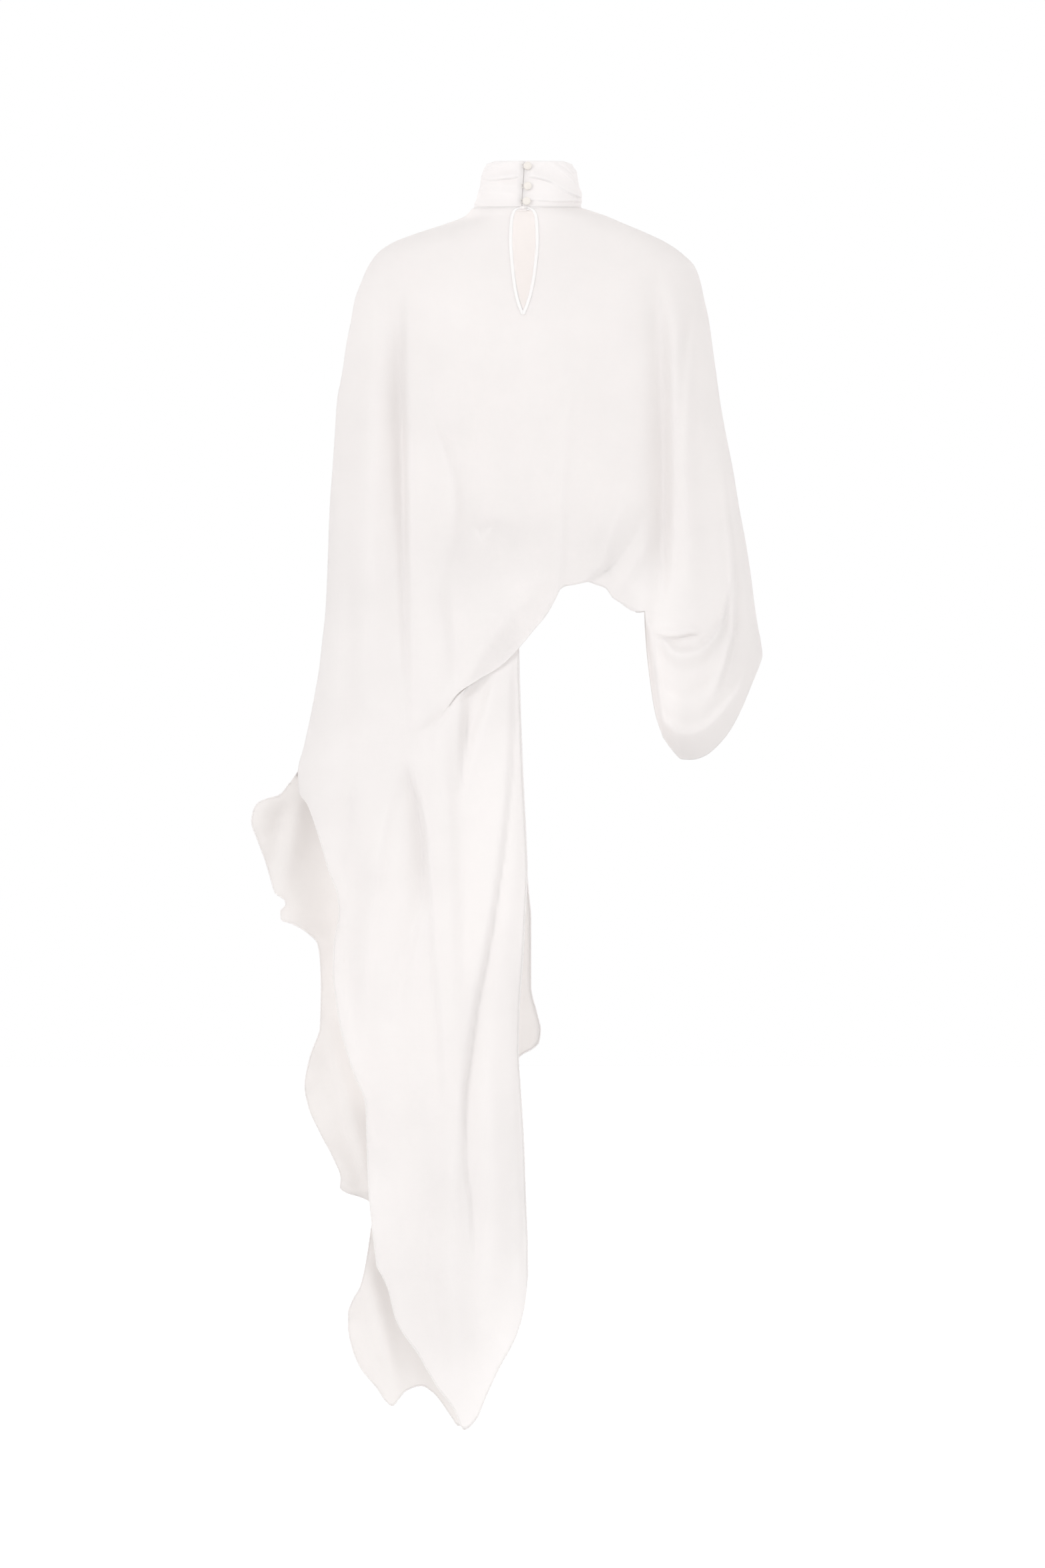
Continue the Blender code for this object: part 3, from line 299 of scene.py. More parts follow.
TAIL_FOLDS = (
    # the flute that opens downwards like a long V: a slope from its left edge to a steep right one
    (curve((-735, -160), (-755, -156), (-812, -139), (-867, -133), (-930, -137), (-1000, -156),
           (-1060, -166)),
     curve((-725, 0), (-760, 5), (-820, 10), (-880, 12), (-940, 11), (-1000, 8), (-1060, 4), (-1110, 0)),
     curve((-735, 5), (-812, 16), (-900, 24), (-1060, 20)),
     curve((-735, 3), (-880, 4), (-960, 10), (-1060, 14))),
    (curve((-735, -158), (-755, -150), (-812, -133), (-867, -126), (-932, -121), (-1002, -116), (-1089, -109),
           (-1200, -104)),
     curve((-730, 0), (-800, -5), (-930, -7), (-1060, -6), (-1180, -3), (-1230, 0)), 5, 24),
    (curve((-735, -166), (-774, -174), (-839, -188), (-922, -200), (-1002, -210), (-1100, -216)),
     curve((-728, 0), (-790, -4), (-900, -6), (-1000, -6), (-1100, -3), (-1160, 0)), 20, 8),
    # the long deep fold from the roll to the hem, dark on its right
    (curve((-600, -11), (-673, -11.5), (-742, -14), (-836, -22), (-929, -34), (-1012, -48), (-1082, -62),
           (-1145, -70), (-1200, -77), (-1270, -77), (-1350, -69), (-1420, -66)),
     curve((-600, 0), (-640, 1.6), (-760, 2.2), (-900, 4.0), (-1050, 7), (-1180, 8), (-1260, 5), (-1360, 3),
           (-1440, 0)), 2.2, curve((-600, 4), (-760, 5), (-900, 10), (-1100, 18), (-1400, 16))),
    (curve((-600, -20), (-742, -22), (-836, -30), (-929, -43), (-1012, -58), (-1082, -72), (-1200, -87),
           (-1300, -90)),
     curve((-590, 0), (-700, -3), (-900, -5), (-1080, -6), (-1250, -4), (-1380, 0)), 22, 6),
    # two dark pockets right under the roll
    (curve((-640, -67), (-700, -75), (-795, -84)),
     curve((-636, 4), (-655, 14), (-700, 14), (-750, 7), (-800, 0)), curve((-640, 14), (-700, 8), (-795, 4)),
     curve((-640, 20), (-700, 12), (-795, 5))),
    (curve((-620, -46), (-660, -54), (-714, -66)),
     curve((-612, 0), (-622, 4), (-660, 5), (-700, 3), (-730, 0)), 13, 6),
    # the light plane between the roll's end and the tail
    (curve((-680, -112), (-760, -106), (-900, -98), (-1100, -92)),
     curve((-670, 0), (-730, -5), (-880, -6), (-1060, -5), (-1200, 0)), 16, 12),
    # the hollow behind the hem on the left, and soft ridges lower down
    (curve((-640, -222), (-700, -226), (-800, -234), (-900, -240)),
     curve((-700, 0), (-740, 6), (-790, 9), (-860, 5), (-920, 0)), 20, 9),
    (curve((-900, -236), (-1100, -226), (-1300, -184)),
     curve((-860, 0), (-1000, 7), (-1150, 5), (-1300, 0)), 20, 22),
    (curve((-1150, -46), (-1300, -40), (-1500, -44)),
     curve((-1100, 0), (-1250, -5), (-1400, -5), (-1560, 0)), 16, 26),
    # the edge on the right turns away
    (curve((-640, 6), (-900, 12), (-1079, 2), (-1185, 4), (-1334, 12), (-1440, 14)),
     curve((-610, 0), (-680, 8), (-900, 13), (-1100, 20), (-1400, 22), (-1500, 16), (-1600, 6)),
     curve((-640, 17), (-850, 18), (-1050, 34), (-1200, 38)), 30),
    (curve((-1020, -1), (-1079, -4), (-1185, -3), (-1334, 4), (-1440, 7)),
     curve((-980, 0), (-1080, 6), (-1400, 7), (-1500, 3), (-1560, 0)), 8, 30),
    (curve((-1200, -140), (-1400, -130), (-1560, -110)),
     curve((-1200, 0), (-1350, 6), (-1500, 5), (-1600, 0)), 26, 20),
    (curve((-1180, -90), (-1400, -94), (-1600, -84)),
     curve((-1180, 0), (-1320, -5), (-1500, -6), (-1620, 0)), 16, 20),
)
FRONT_FOLDS = (
    (curve((-120, -150), (-400, -158), (-700, -150)),
     curve((-110, 0), (-250, 12), (-430, 20), (-600, 14), (-720, 4), (-800, 0)), 26, 14),
    (curve((-80, 178), (-540, 182)), curve((-70, 0), (-240, 16), (-420, 20), (-530, 8), (-560, 3)), 24, 16),
    (curve((-200, -20), (-600, -60)), curve((-180, 0), (-330, -5), (-560, -7), (-640, 0)), 30, 18),
    (curve((-200, 60), (-520, 84)), curve((-180, 0), (-330, -4), (-500, -5), (-560, 0)), 24, 24),
    (curve((-90, -196), (-640, -214)), curve((-90, 0), (-240, -5), (-520, -7), (-700, 0)), 18, 20),
    (curve((-260, -96), (-620, -112)), curve((-240, 0), (-380, 4), (-560, 5), (-680, 0)), 16, 26),
    (curve((-90, 212), (-500, 226)), curve((-90, 0), (-240, -5), (-460, -6), (-540, 0)), 16, 18),
)
FRONT_LEAF_FOLDS = (
    (curve((-780, -324), (-800, -324), (-850, -334), (-900, -338)),
     curve((-795, 0), (-825, 6), (-860, 5), (-900, 0)), 14, 12),
    (curve((-770, -296), (-800, -300), (-850, -309), (-905, -322), (-940, -326)),
     curve((-765, 0), (-790, -5), (-850, -9), (-900, -8), (-945, 0)), 13, 15),
    (curve((-800, -262), (-900, -262), (-1000, -250), (-1100, -244)),
     curve((-800, 0), (-860, 12), (-940, 22), (-1000, 14), (-1080, 6), (-1140, 0)), 44, 40),
    (curve((-1100, -262), (-1330, -200)), curve((-1080, 0), (-1180, -9), (-1280, -8), (-1400, 0)), 12, 18),
    (curve((-1400, -214), (-1600, -170)), curve((-1380, 0), (-1480, -8), (-1560, -9), (-1600, -5)), 12, 16),
    (curve((-700, -90), (-1200, -80)), curve((-640, 0), (-850, 14), (-1050, 12), (-1300, 0)), 30, 34),
)
print(len(BACK_FOLDS + TAIL_FOLDS), "folds on the back,", len(FRONT_FOLDS + FRONT_LEAF_FOLDS), "on the front")

# %% [markdown]
# Between the folds no cloth is quite smooth. A few long waves of unlike length, added together, give
# the surface a slight unrest of half a millimetre, stretched along the drop of the cloth.

# %% The unrest of the cloth
UNREST = (  # strength, wave across, wave down, start
    (0.34, 17.0, 150.0, 0.3), (0.26, -29.0, 96.0, 1.9), (0.22, 11.0, -210.0, 4.1), (0.30, 43.0, 61.0, 2.2),
    (0.16, 7.3, 88.0, 5.2), (0.14, -9.7, 55.0, 0.8),
)
SWAY, SWAY_WAVE = 0.8, 73.0  # how far the waves wander, and over what length


def unrest(x, z):
    return sum(
        strength * np.sin(x / across + z / down + start + SWAY * np.sin(z / SWAY_WAVE + start))
        for strength, across, down, start in UNREST
    )


print(len(UNREST), "waves, together at most", round(sum(row[0] for row in UNREST), 2), "mm")


# %% [markdown]
# The keyhole is a slit below the collar that opens like a drop. The back is made in two halves that
# meet in the middle, and beside the slit each half moves its own way.

# %% The keyhole
KEYHOLE_TIP = -141.0
KEYHOLE = curve(  # half its width
    (0, 0.8), (-1.5, 4.0), (-3.5, 8.5), (-7, 11.6), (-14, 13.8), (-26, 15.0), (-44, 15.7), (-85, 12.6),
    (-116, 7.9), (-132, 3.4), (-141, 0),
)
KEYHOLE_X = curve((0, 2.0), (-60, 1.9), (-141, 0.6))
KEYHOLE_FADE = (0.03, 0.3)  # between these shares of the half width the columns stop giving way to it
print("keyhole", 2 * float(KEYHOLE(-44)), "by", -KEYHOLE_TIP, "mm")

# %% [markdown]
# The sleeve carries folds of another kind. An outer strip lies a step further in, and the slack cloth
# low in the sleeve falls in two swags, with a pulled slit above them.

# %% The folds of the sleeve
STRIP_EDGE = curve(
    (-180, 256), (-236, 261), (-331, 269.6), (-405, 278), (-475, 285.3), (-530, 287), (-558, 286),
    (-581, 282.6), (-607.5, 276.3), (-633, 269), (-655, 261.6),
)
STRIP_DEPTH = curve((-190, 0), (-290, 3), (-420, 6), (-560, 7.5), (-620, 6), (-670, 0))
INNER_SWAG = curve((180, -580), (194, -592), (212, -604), (235, -601), (257, -579), (271, -556), (280, -511))
OUTER_SWAG = curve(
    (172, -663), (179, -682), (195, -702), (223, -713), (245, -706), (269, -683), (287, -661), (300, -640),
)
SLIT = curve((170, -573), (188, -579.6), (204, -581.8), (230, -577), (242, -580))
DRAPES = (  # line, depth, widths below and above the line, x where it starts, is full, thins out and ends
    (INNER_SWAG, -10, 15, 9, (178, 198, 264, 284)),
    (OUTER_SWAG, -13, 34, 12, (168, 180, 288, 308)),
    (lambda x: (INNER_SWAG(x) + OUTER_SWAG(x)) / 2, 5, 15, 15, (176, 196, 236, 266)),
    (SLIT, 4.2, 3.6, 1.6, (172, 188, 226, 244)),
    (lambda x: SLIT(x) + 8, -4, 7, 7, (176, 196, 222, 244)),
)
CROOK = (171, 10, -566, 30, 9)  # the shadowed corner where the sleeve leaves the waist: x, z, sizes, depth


def sleeve_relief(x, z):
    """Hollows (plus) and ridges (minus) of the back of the sleeve, in mm."""
    past = x - STRIP_EDGE(z)
    relief = STRIP_DEPTH(z) * (ease(past, -1, 2.5) - 0.35 * hump(past + 4, 5))
    for line, depth, below, above, reach in DRAPES:
        relief += depth * hump(z - line(x), below, above) * within(x, *reach)
    crook_x, wide, crook_z, tall, depth = CROOK
    return relief + depth * hump(np.hypot((x - crook_x) / wide, (z - crook_z) / tall), 1)


print(len(DRAPES), "drapes on the sleeve")


# %% [markdown]
# Now one function places any point of the body: its outline gives x and z, and a flattened oval with
# the folds taken off gives y. Working from one height field keeps the cloth smooth from the shoulder
# through the low line into the leaves.

# %% Where a point of the body lies
LOW_TURN = curve(  # how far the cloth turns in (plus) or swells out (minus) along the low line
    (-158, 0), (-144, 2.6), (-124, 3.8), (-108, 3.4), (-94, 2.0), (-80, 0.2), (-66, -1.4), (-40, -1.8),
    (-6, -1.2), (14, 0.2), (34, 1.4), (130, 1.8), (160, 0),
)
TURN_BELOW, TURN_ABOVE = 24, 10  # how far from the line it still does
HALF_LAYER = (CLOTH + SEAM_GAP) / 2  # the middle of each sheet lies this far from the seam
SLEEVE_FROM = (160, 190)  # the sleeve's own folds begin between these
FADE_SHARE = 0.12  # the folds fade out over this share of the half width, next to a seam


def body_y(x, z, side):
    """y of the middle of the cloth, for the back (side -1) or the front (side 1)."""
    left, right = LEFT_X(z), RIGHT_X(z)
    across = np.clip((x - (left + right) / 2) / ((right - left) / 2), -1, 1)
    wall = HALF_LAYER * side
    reach = (BACK_Y if side < 0 else FRONT_Y)(z) - SEAM_Y(z) - wall
    y = SEAM_Y(z) + wall + reach * np.sqrt(1 - across * across) ** ROUNDING(z)
    folds = folded(x, z, BACK_FOLDS if side < 0 else FRONT_FOLDS) + unrest(x * side, z)
    if side < 0:
        folds = folds + sleeve_relief(x, z) * ease(x, *SLEEVE_FROM)
        folds = folds + LOW_TURN(x) * hump(z - BACK_LOW(x), TURN_BELOW, TURN_ABOVE)
    return y - side * folds * ease(1 - np.abs(across), 0, FADE_SHARE)


ROLL_HANG = 4.8  # the rolled line's bend hangs this much lower than the row that it leaves
ROLL_SPAN = (-139, -84, 130, 162)  # x where the roll starts, is full, thins out and ends
LEANING_ROW, LAST_ROW = 7.4, 10.0  # between these the rows lean more and more towards the low line
LEAN_RATE = 1.6
LOW_START, LOW_ROUNDS = -600.0, 40


def column_x(s, z):
    return MID_X(z) + np.where(s < 0, MID_X(z) - LEFT_X(z), RIGHT_X(z) - MID_X(z)) * s


def low_z(s, side):
    """Height of the body's last row, found in rounds, because a column's x depends on its height."""
    z = np.full(np.shape(s), LOW_START)
    for _ in range(LOW_ROUNDS):
        x = column_x(s, z)
        low = BACK_LOW(x) + ROLL_HANG * within(x, *ROLL_SPAN) if side < 0 else FRONT_LOW(x)
        z = (z + low) / 2
    return z


def body_point(s, t, side):
    """s runs from the left seam, -1, to the right seam, 1, and t from the neck, 0, to the last row."""
    s, t = np.broadcast_arrays(np.asarray(s, float), np.asarray(t, float))
    end_z = np.where(s < 0, LEFT_Z(t), RIGHT_Z(t))
    z = MID_Z(t) + (end_z - MID_Z(t)) * DROOP(np.abs(s))
    lean = np.clip((t - LEANING_ROW) / (LAST_ROW - LEANING_ROW), 0, 1) ** LEAN_RATE
    z = z + (low_z(s, side) - z) * lean
    x = column_x(s, z)
    if side < 0:
        opening = KEYHOLE(z) * (z > KEYHOLE_TIP)
        x = x + np.where(s < 0, -1, 1) * opening * (1 - ease(np.abs(s), *KEYHOLE_FADE))
    return x, body_y(x, z, side), z


print("the body is", round(float(body_y(0.0, -300.0, 1) - body_y(0.0, -300.0, -1))), "mm deep at the chest")


# %% [markdown]
# At the low row the back does not end. It rolls under in one soft bend, runs up inside, turns down
# again and falls as the cape's leaf. On the right the same bend is the waist hem, which comes to lie
# on a band inside. The path is drawn as a pen would draw it, in many short steps that turn.

# %% The roll under the low row
ROLL_TURN = curve(  # degrees that the cloth turns under
    (-303, 0), (-128, 0), (-108, 18), (-94, 52), (-82, 104), (-71, 148), (-57, 176), (-20, 178.5),
    (20, 178), (60, 174), (165, 172),
)
ROLL_LENGTH = curve(  # how far it runs up inside
    (-303, 0), (-100, 0), (-86, 1), (-75, 4), (-62, 14), (-46, 32), (-20, 46), (0, 46), (40, 34),
    (110, 24), (165, 18),
)
ROLL_BEND = curve(  # the length of each bend
    (-303, 1.7), (-90, 1.7), (-60, 2.0), (-30, 3.0), (10, 6), (40, 8), (118, 10), (150, 5), (165, 2.5),
)
FRONT_TURN = curve((-10, 172), (165, 172))
FRONT_LENGTH = curve((-10, 30), (165, 18))
PARTS, STROKES = 3, 48  # the bend, the layer and the second bend, drawn in so many short steps
HEM_DRAWN_IN, DRAWN_FROM = 11, (120, 165)  # the waist hem is narrower than its row beside the sleeve
BAND_HALF_X, BAND_HALF_Y, BAND_CENTRE = 152.0, 90.0, (4.0, 3.0)
ON_BAND = (2, 40, 100, 150)  # x where the hem starts to lie on the band, lies on it, and leaves it
BAND_TO_HEM = CLOTH + SEAM_GAP + 0.5


def band_y(x, side):
    across = np.clip((x - BAND_CENTRE[0]) / BAND_HALF_X, -1, 1)
    return BAND_CENTRE[1] + side * BAND_HALF_Y * np.sqrt(1 - across * across)


def rolled(x, z, q, side):
    """The path at q: 0 to 1 the first bend, 1 to 2 the layer that runs up, 2 to 3 the second bend."""
    turn = np.radians((ROLL_TURN if side < 0 else FRONT_TURN)(x))
    layer = (ROLL_LENGTH if side < 0 else FRONT_LENGTH)(x)
    bend = ROLL_BEND(x)
    inward, down = np.zeros_like(x), np.zeros_like(x)
    for k in range(STROKES):
        at = (k + 0.5) / STROKES * PARTS
        share = np.clip(q * STROKES / PARTS - k, 0, 1)
        angle = turn * min(at, 1, PARTS - at)
        length = (layer if 1 < at < 2 else bend) * PARTS / STROKES * share
        inward, down = inward + np.sin(angle) * length, down + np.cos(angle) * length
    return body_y(x, z - down, side) - side * inward, z - down


def roll_point(s, q, side):
    x, _, z = body_point(s, LAST_ROW, side)
    q = np.asarray(q, float) + 0 * x
    y, z = rolled(x, z, q, side)
    x = x - HEM_DRAWN_IN * ease(x, *DRAWN_FROM) * ease(q, 0, 0.7)
    pull = within(x, *ON_BAND) * ease(q, 0.7, 2.0)
    target = band_y(x, side) + side * BAND_TO_HEM
    return x, y + (target - y) * pull, z


print("behind the roll's lowest part the cloth runs up", float(ROLL_LENGTH(-10)), "mm")


# %% [markdown]
# A leaf hangs from the roll to its hem. Its sides narrow along the outline, its surface swings out to
# its own plane, and its free edge ripples a little, as a rolled hem does.

# %% The hanging leaves
BACK_PLANE = curve((-560, -84), (-700, -88), (-900, -92), (-1150, -86), (-1400, -78), (-1650, -72))
BACK_EDGE = curve((-760, 95), (-830, 66), (-900, 46), (-1000, 30), (-1150, 16), (-1400, 6), (-1650, 0))
BACK_EDGE_WIDE = 55
FRONT_PLANE = curve(
    (-600, 112), (-760, 84), (-900, 60), (-1050, 34), (-1200, 8), (-1400, -18), (-1650, -36),
)
FRONT_EDGE = curve((-760, -58), (-830, -40), (-960, -20), (-1200, -6), (-1500, -4), (-1600, 0))
FRONT_EDGE_WIDE = curve((-760, 120), (-900, 110), (-1050, 60), (-1650, 60))
SLIDE_DROP = 60  # over this drop the columns slide under the leaf's own outline
BACK_SWING, FRONT_SWING, LOBE_SWING = 170, 220, 9  # and over these the surface swings to its plane
LOBE_REACH = 85  # how far in from the free edge the front leaf swings as shortly as its first lobe
STEPS_POWER = 6  # the higher, the fewer columns follow the small steps of the free edge
BEHIND_SHARE = 0.45  # share of the rolled layer's step inwards that is made up behind the roll
RIPPLES = {  # by side: height, wave, sway, its wave, reach from the edge, drops where it starts and is full
    -1: ((5, 34.0, 0, 1, 22, 30, 120), (1.1, 7.3, 0.7, 31, 7, 60, 160)),
    1: ((7, 25.0, 0, 1, 26, 10, 60), (1.1, 6.9, 0.9, 27, 7, 10, 60)),
}


def rippled(z, inside, drop, side):
    """The free edge's slow wave, and the fine one that its rolled hem makes."""
    return sum(
        height * np.sin(z / wave + sway * np.sin(z / sway_wave))
        * hump(inside, reach) * ease(drop, start, full)
        for height, wave, sway, sway_wave, reach, start, full in RIPPLES[side]
    )


def leaf_point(s, p, side):
    """p runs from the leaf's top, 0, to its hem, 1."""
    s, p = np.broadcast_arrays(np.asarray(s, float), np.asarray(p, float))
    left, right, hem, floor, smooth = LEAVES[side]
    x0, y0, z0 = roll_point(s, 3.0, side) if side < 0 else body_point(s, LAST_ROW, side)
    share = np.abs(s)
    end_x = right(floor) + (left(floor) - right(floor)) * share
    z = z0 + (hem(end_x) - z0) * p
    level, drop = np.maximum(z, floor), z0 - z

    def column(at):
        return right(at) + (smooth(at) - right(at)) * share + (left(at) - smooth(at)) * share**STEPS_POWER

    x = column(level) + (x0 - column(z0)) * (1 - ease(drop, 0, SLIDE_DROP))
    step_in = y0 - body_y(x0, z0, side)
    if side < 0:
        inside, near = x - left(level), ease(drop, 0, BACK_SWING)
        y = BACK_PLANE(z) + BACK_EDGE(z) * hump(inside, BACK_EDGE_WIDE)
        behind = np.maximum(ROLL_LENGTH(x0), 4)  # so far down the leaf is behind the roll
        out = behind + 8 + 22 * ease(x0, -100, -70)
        step_in = step_in * (
            1 - BEHIND_SHARE * ease(drop, 0.4 * behind, behind) - (1 - BEHIND_SHARE) * ease(drop, behind, out)
        )
    else:
        inside = x - FRONT_SIDE(z)
        y = FRONT_PLANE(z) + FRONT_EDGE(z) * hump(inside, FRONT_EDGE_WIDE(z)) + folded(x, z, FRONT_LEAF_FOLDS)
        by_lobe = np.exp(-(np.abs(inside / LOBE_REACH) ** 3))
        near = ease(drop, 0, FRONT_SWING - (FRONT_SWING - LOBE_SWING) * by_lobe)
    y = y + rippled(z, inside, drop, side) + unrest(x, z)
    above = body_y(x, z, side) + step_in
    y = above + (y - above) * near
    if side < 0:
        y = y + folded(x, z, TAIL_FOLDS) * ease(drop - behind, 0, 60 - 50 * ease(x, -150, -115))
    return x, y, z


print("the back leaf is", round(float(BACK_LEAF_RIGHT(-1000) - BACK_LEAF_LEFT(-1000))), "mm wide a metre down")


# %% [markdown]
# Below the low row the sleeve goes on to its cuff. A patch is stretched between four edges: the low
# row, the sleeve's inner and outer outline and its bottom. Front and back close on each other at the
# bottom, except at the cuff's opening.

# %% The lower sleeve
SLEEVE_INNER = ((0, 165.0, -544.5), (0.29, 168, -594), (0.56, 173, -640), (0.8, 180, -683), (1, 190, -714))
SLEEVE_OUTER = ((0, 313, -536), (0.4, 318, -567), (0.62, 321.5, -585), (0.82, 323.5, -603), (1, 319, -620))
SLEEVE_BOTTOM = (
    (0, 190, -714), (0.1, 203, -732), (0.19, 216, -744), (0.27, 229, -744.5), (0.37, 245, -740),
    (0.49, 262, -727), (0.62, 280, -705), (0.76, 295, -677), (0.9, 309, -644), (1, 319, -620),
)
CORNER_X, CORNER_Z = SLEEVE_INNER[0][1:]
SLEEVE_START = float((CORNER_X - MID_X(CORNER_Z)) / (RIGHT_X(CORNER_Z) - MID_X(CORNER_Z)))
CUFF_GAP = curve(  # half the width of the cuff's opening, along the bottom
    (0, HALF_LAYER), (0.22, HALF_LAYER), (0.34, 14), (0.55, 32), (0.8, 26), (0.93, 10), (1, HALF_LAYER),
)
SLEEVE_BELLY = 10  # the cloth swells out by this in the middle
INNER_ROUND = 0.06  # share of the width over which the inner edge rounds


def edge_path(rows):
    """x and z along one edge of the patch."""
    return curve(*((r[0], r[1]) for r in rows)), curve(*((r[0], r[2]) for r in rows))


INNER_PATH, OUTER_PATH, BOTTOM_PATH = map(edge_path, (SLEEVE_INNER, SLEEVE_OUTER, SLEEVE_BOTTOM))


def stretched(top, w, v, k):
    """x (k is 0) or z (k is 1) of a patch stretched between its four edges."""
    a, b, c, d = (rows[end][1 + k] for end in (0, -1) for rows in (SLEEVE_INNER, SLEEVE_OUTER))
    flat = (1 - w) * (1 - v) * a + w * (1 - v) * b + (1 - w) * v * c + w * v * d
    return (1 - v) * top + v * BOTTOM_PATH[k](w) + (1 - w) * INNER_PATH[k](v) + w * OUTER_PATH[k](v) - flat


def sleeve_point(s, v, side):
    """v runs from the low row, 0, to the cuff, 1."""
    s, v = np.broadcast_arrays(np.asarray(s, float), np.asarray(v, float))
    w = (s - SLEEVE_START) / (1 - SLEEVE_START)
    top_x, _, top_z = body_point(s, LAST_ROW, side)
    x, z = stretched(top_x, w, v, 0), stretched(top_z, w, v, 1)
    in_x, in_z = (path(v) for path in INNER_PATH)
    start = float(abs(body_y(CORNER_X, CORNER_Z, side) - SEAM_Y(CORNER_Z)))
    inner_gap = curve(
        (0, start), (0.05, start - 1.5), (0.2, 64), (0.42, 38), (0.62, 18), (0.85, 6), (1, HALF_LAYER),
    )
    closing = 1 - np.clip(1 - v**5, 0, 1) ** 0.6
    fall = np.abs(body_y(x, z, side) - SEAM_Y(z)) * (1 - closing) + CUFF_GAP(w) * closing
    fall = fall + SLEEVE_BELLY * np.sin(np.pi * np.clip(w, 0, 1)) * np.sin(np.pi * v) ** 2
    edge = 1 - np.sqrt(np.clip(1 - (1 - np.clip(w / INNER_ROUND, 0, 1)) ** 2, 0, 1))
    at_edge = np.abs(body_y(in_x, in_z, side) - SEAM_Y(in_z)) * (1 - closing) + HALF_LAYER * closing
    depth = np.maximum(fall - (at_edge - inner_gap(v)) * edge, HALF_LAYER)
    return x, SEAM_Y(z) + side * depth, z


print("the sleeve takes the last", round(1 - SLEEVE_START, 3), "of the right half's width")


# %% [markdown]
# A sheet starts as a flat grid, whose corners the functions above then place. Grids that meet are
# welded, so each panel is one piece of cloth, and a Solidify modifier gives it its thickness and puts
# the crepe's inner face, duller and painted darker as shade, on the inside.

# %% From a grid to a sheet of cloth
def patch_of(columns, rows, place):
    """One grid of a sheet, its corners placed at each column and row value, in mm."""
    bm = bmesh.new()
    nx, ny = len(columns) - 1, len(rows) - 1
    bmesh.ops.create_grid(bm, x_segments=nx, y_segments=ny, size=0.5)
    i = np.array([round((v.co.x + 0.5) * nx) for v in bm.verts])
    j = np.array([round((v.co.y + 0.5) * ny) for v in bm.verts])
    x, y, z = place(np.array(columns, float)[i], np.array(rows, float)[j])
    for vert, corner in zip(bm.verts, np.stack([x, y, z], 1) * MM):
        vert.co = corner
    return bm


def joined(patches):
    """The grids made one mesh, with the corners that fall together welded."""
    whole = bmesh.new()
    for bm in patches:
        mesh = bpy.data.meshes.new("patch")
        bm.to_mesh(mesh)
        bm.free()
        whole.from_mesh(mesh)
        bpy.data.meshes.remove(mesh)
    bmesh.ops.remove_doubles(whole, verts=whole.verts, dist=2e-6)
    return whole


def dense(values, times):
    """The list with each step cut into so many."""
    values = np.array(values, float)
    places = np.arange(len(values))
    fine = np.interp(np.linspace(0, places[-1], places[-1] * times + 1), places, values)
    fine[::times] = values
    return list(fine)


INSIDE_MARGIN = 4  # mm above the low line from which the layers count as hidden behind it


def turned_in(bm):
    """Gives the faces that lie hidden behind the low line of the back the third finish, the crepe painted
    lighter and sheerer as light.
    """
    for face in bm.faces:
        middle = face.calc_center_median() / MM
        if middle.z > BACK_LOW(middle.x) + INSIDE_MARGIN:
            face.material_index = 2
    return bm


def face_out(bm, way):
    """Turns the sheet's faces so that on the whole they look that way."""
    bmesh.ops.recalc_face_normals(bm, faces=bm.faces)
    total = sum((f.normal * f.calc_area() for f in bm.faces), Vector())
    if total.dot(Vector(way)) < 0:
        bmesh.ops.reverse_faces(bm, faces=bm.faces)
    return bm


def piece(name, bm, materials, wall=None, nodes=()):
    """The finished object, riding on the part's one body."""
    mesh = bpy.data.meshes.new(name)
    bm.to_mesh(mesh)
    bm.free()
    for finish in materials:
        mesh.materials.append(finish)
    mesh.shade_smooth()
    obj = bpy.data.objects.new(name, mesh)
    bpy.context.scene.collection.objects.link(obj)
    if wall:
        shell = obj.modifiers.new("wall", "SOLIDIFY")
        shell.thickness = wall * MM
        shell.offset = 0
        shell.material_offset = min(len(materials) - 1, 1)
    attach(obj, "root")
    if nodes:
        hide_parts(*nodes)
    print(name, sum(len(p.vertices) - 2 for p in mesh.polygons) * (2 if wall else 1), "triangles")
    return obj


# %% [markdown]
# ## The cloth's finish
# Crepe is woven from hard-twisted yarn, so its face is a fine pebble, matt, with a faint sheen where
# the cloth turns away. Fine noise gives the pebble, two crossed waves the yarns, and a wide soft noise
# the slight change of tone that hand-pressed cloth has. The cloth is so thin that light goes through
# it, so a translucent shader is mixed in. The layers hidden behind the low line get a lighter and
# sheerer copy, painted light, so that the cloth over them is not shaded darker where it lies doubled.

# %% The crepe
def fill_in(node, values):
    """Sets a node's sockets by their names."""
    for socket, value in values.items():
        node.inputs[socket].default_value = value
    return node


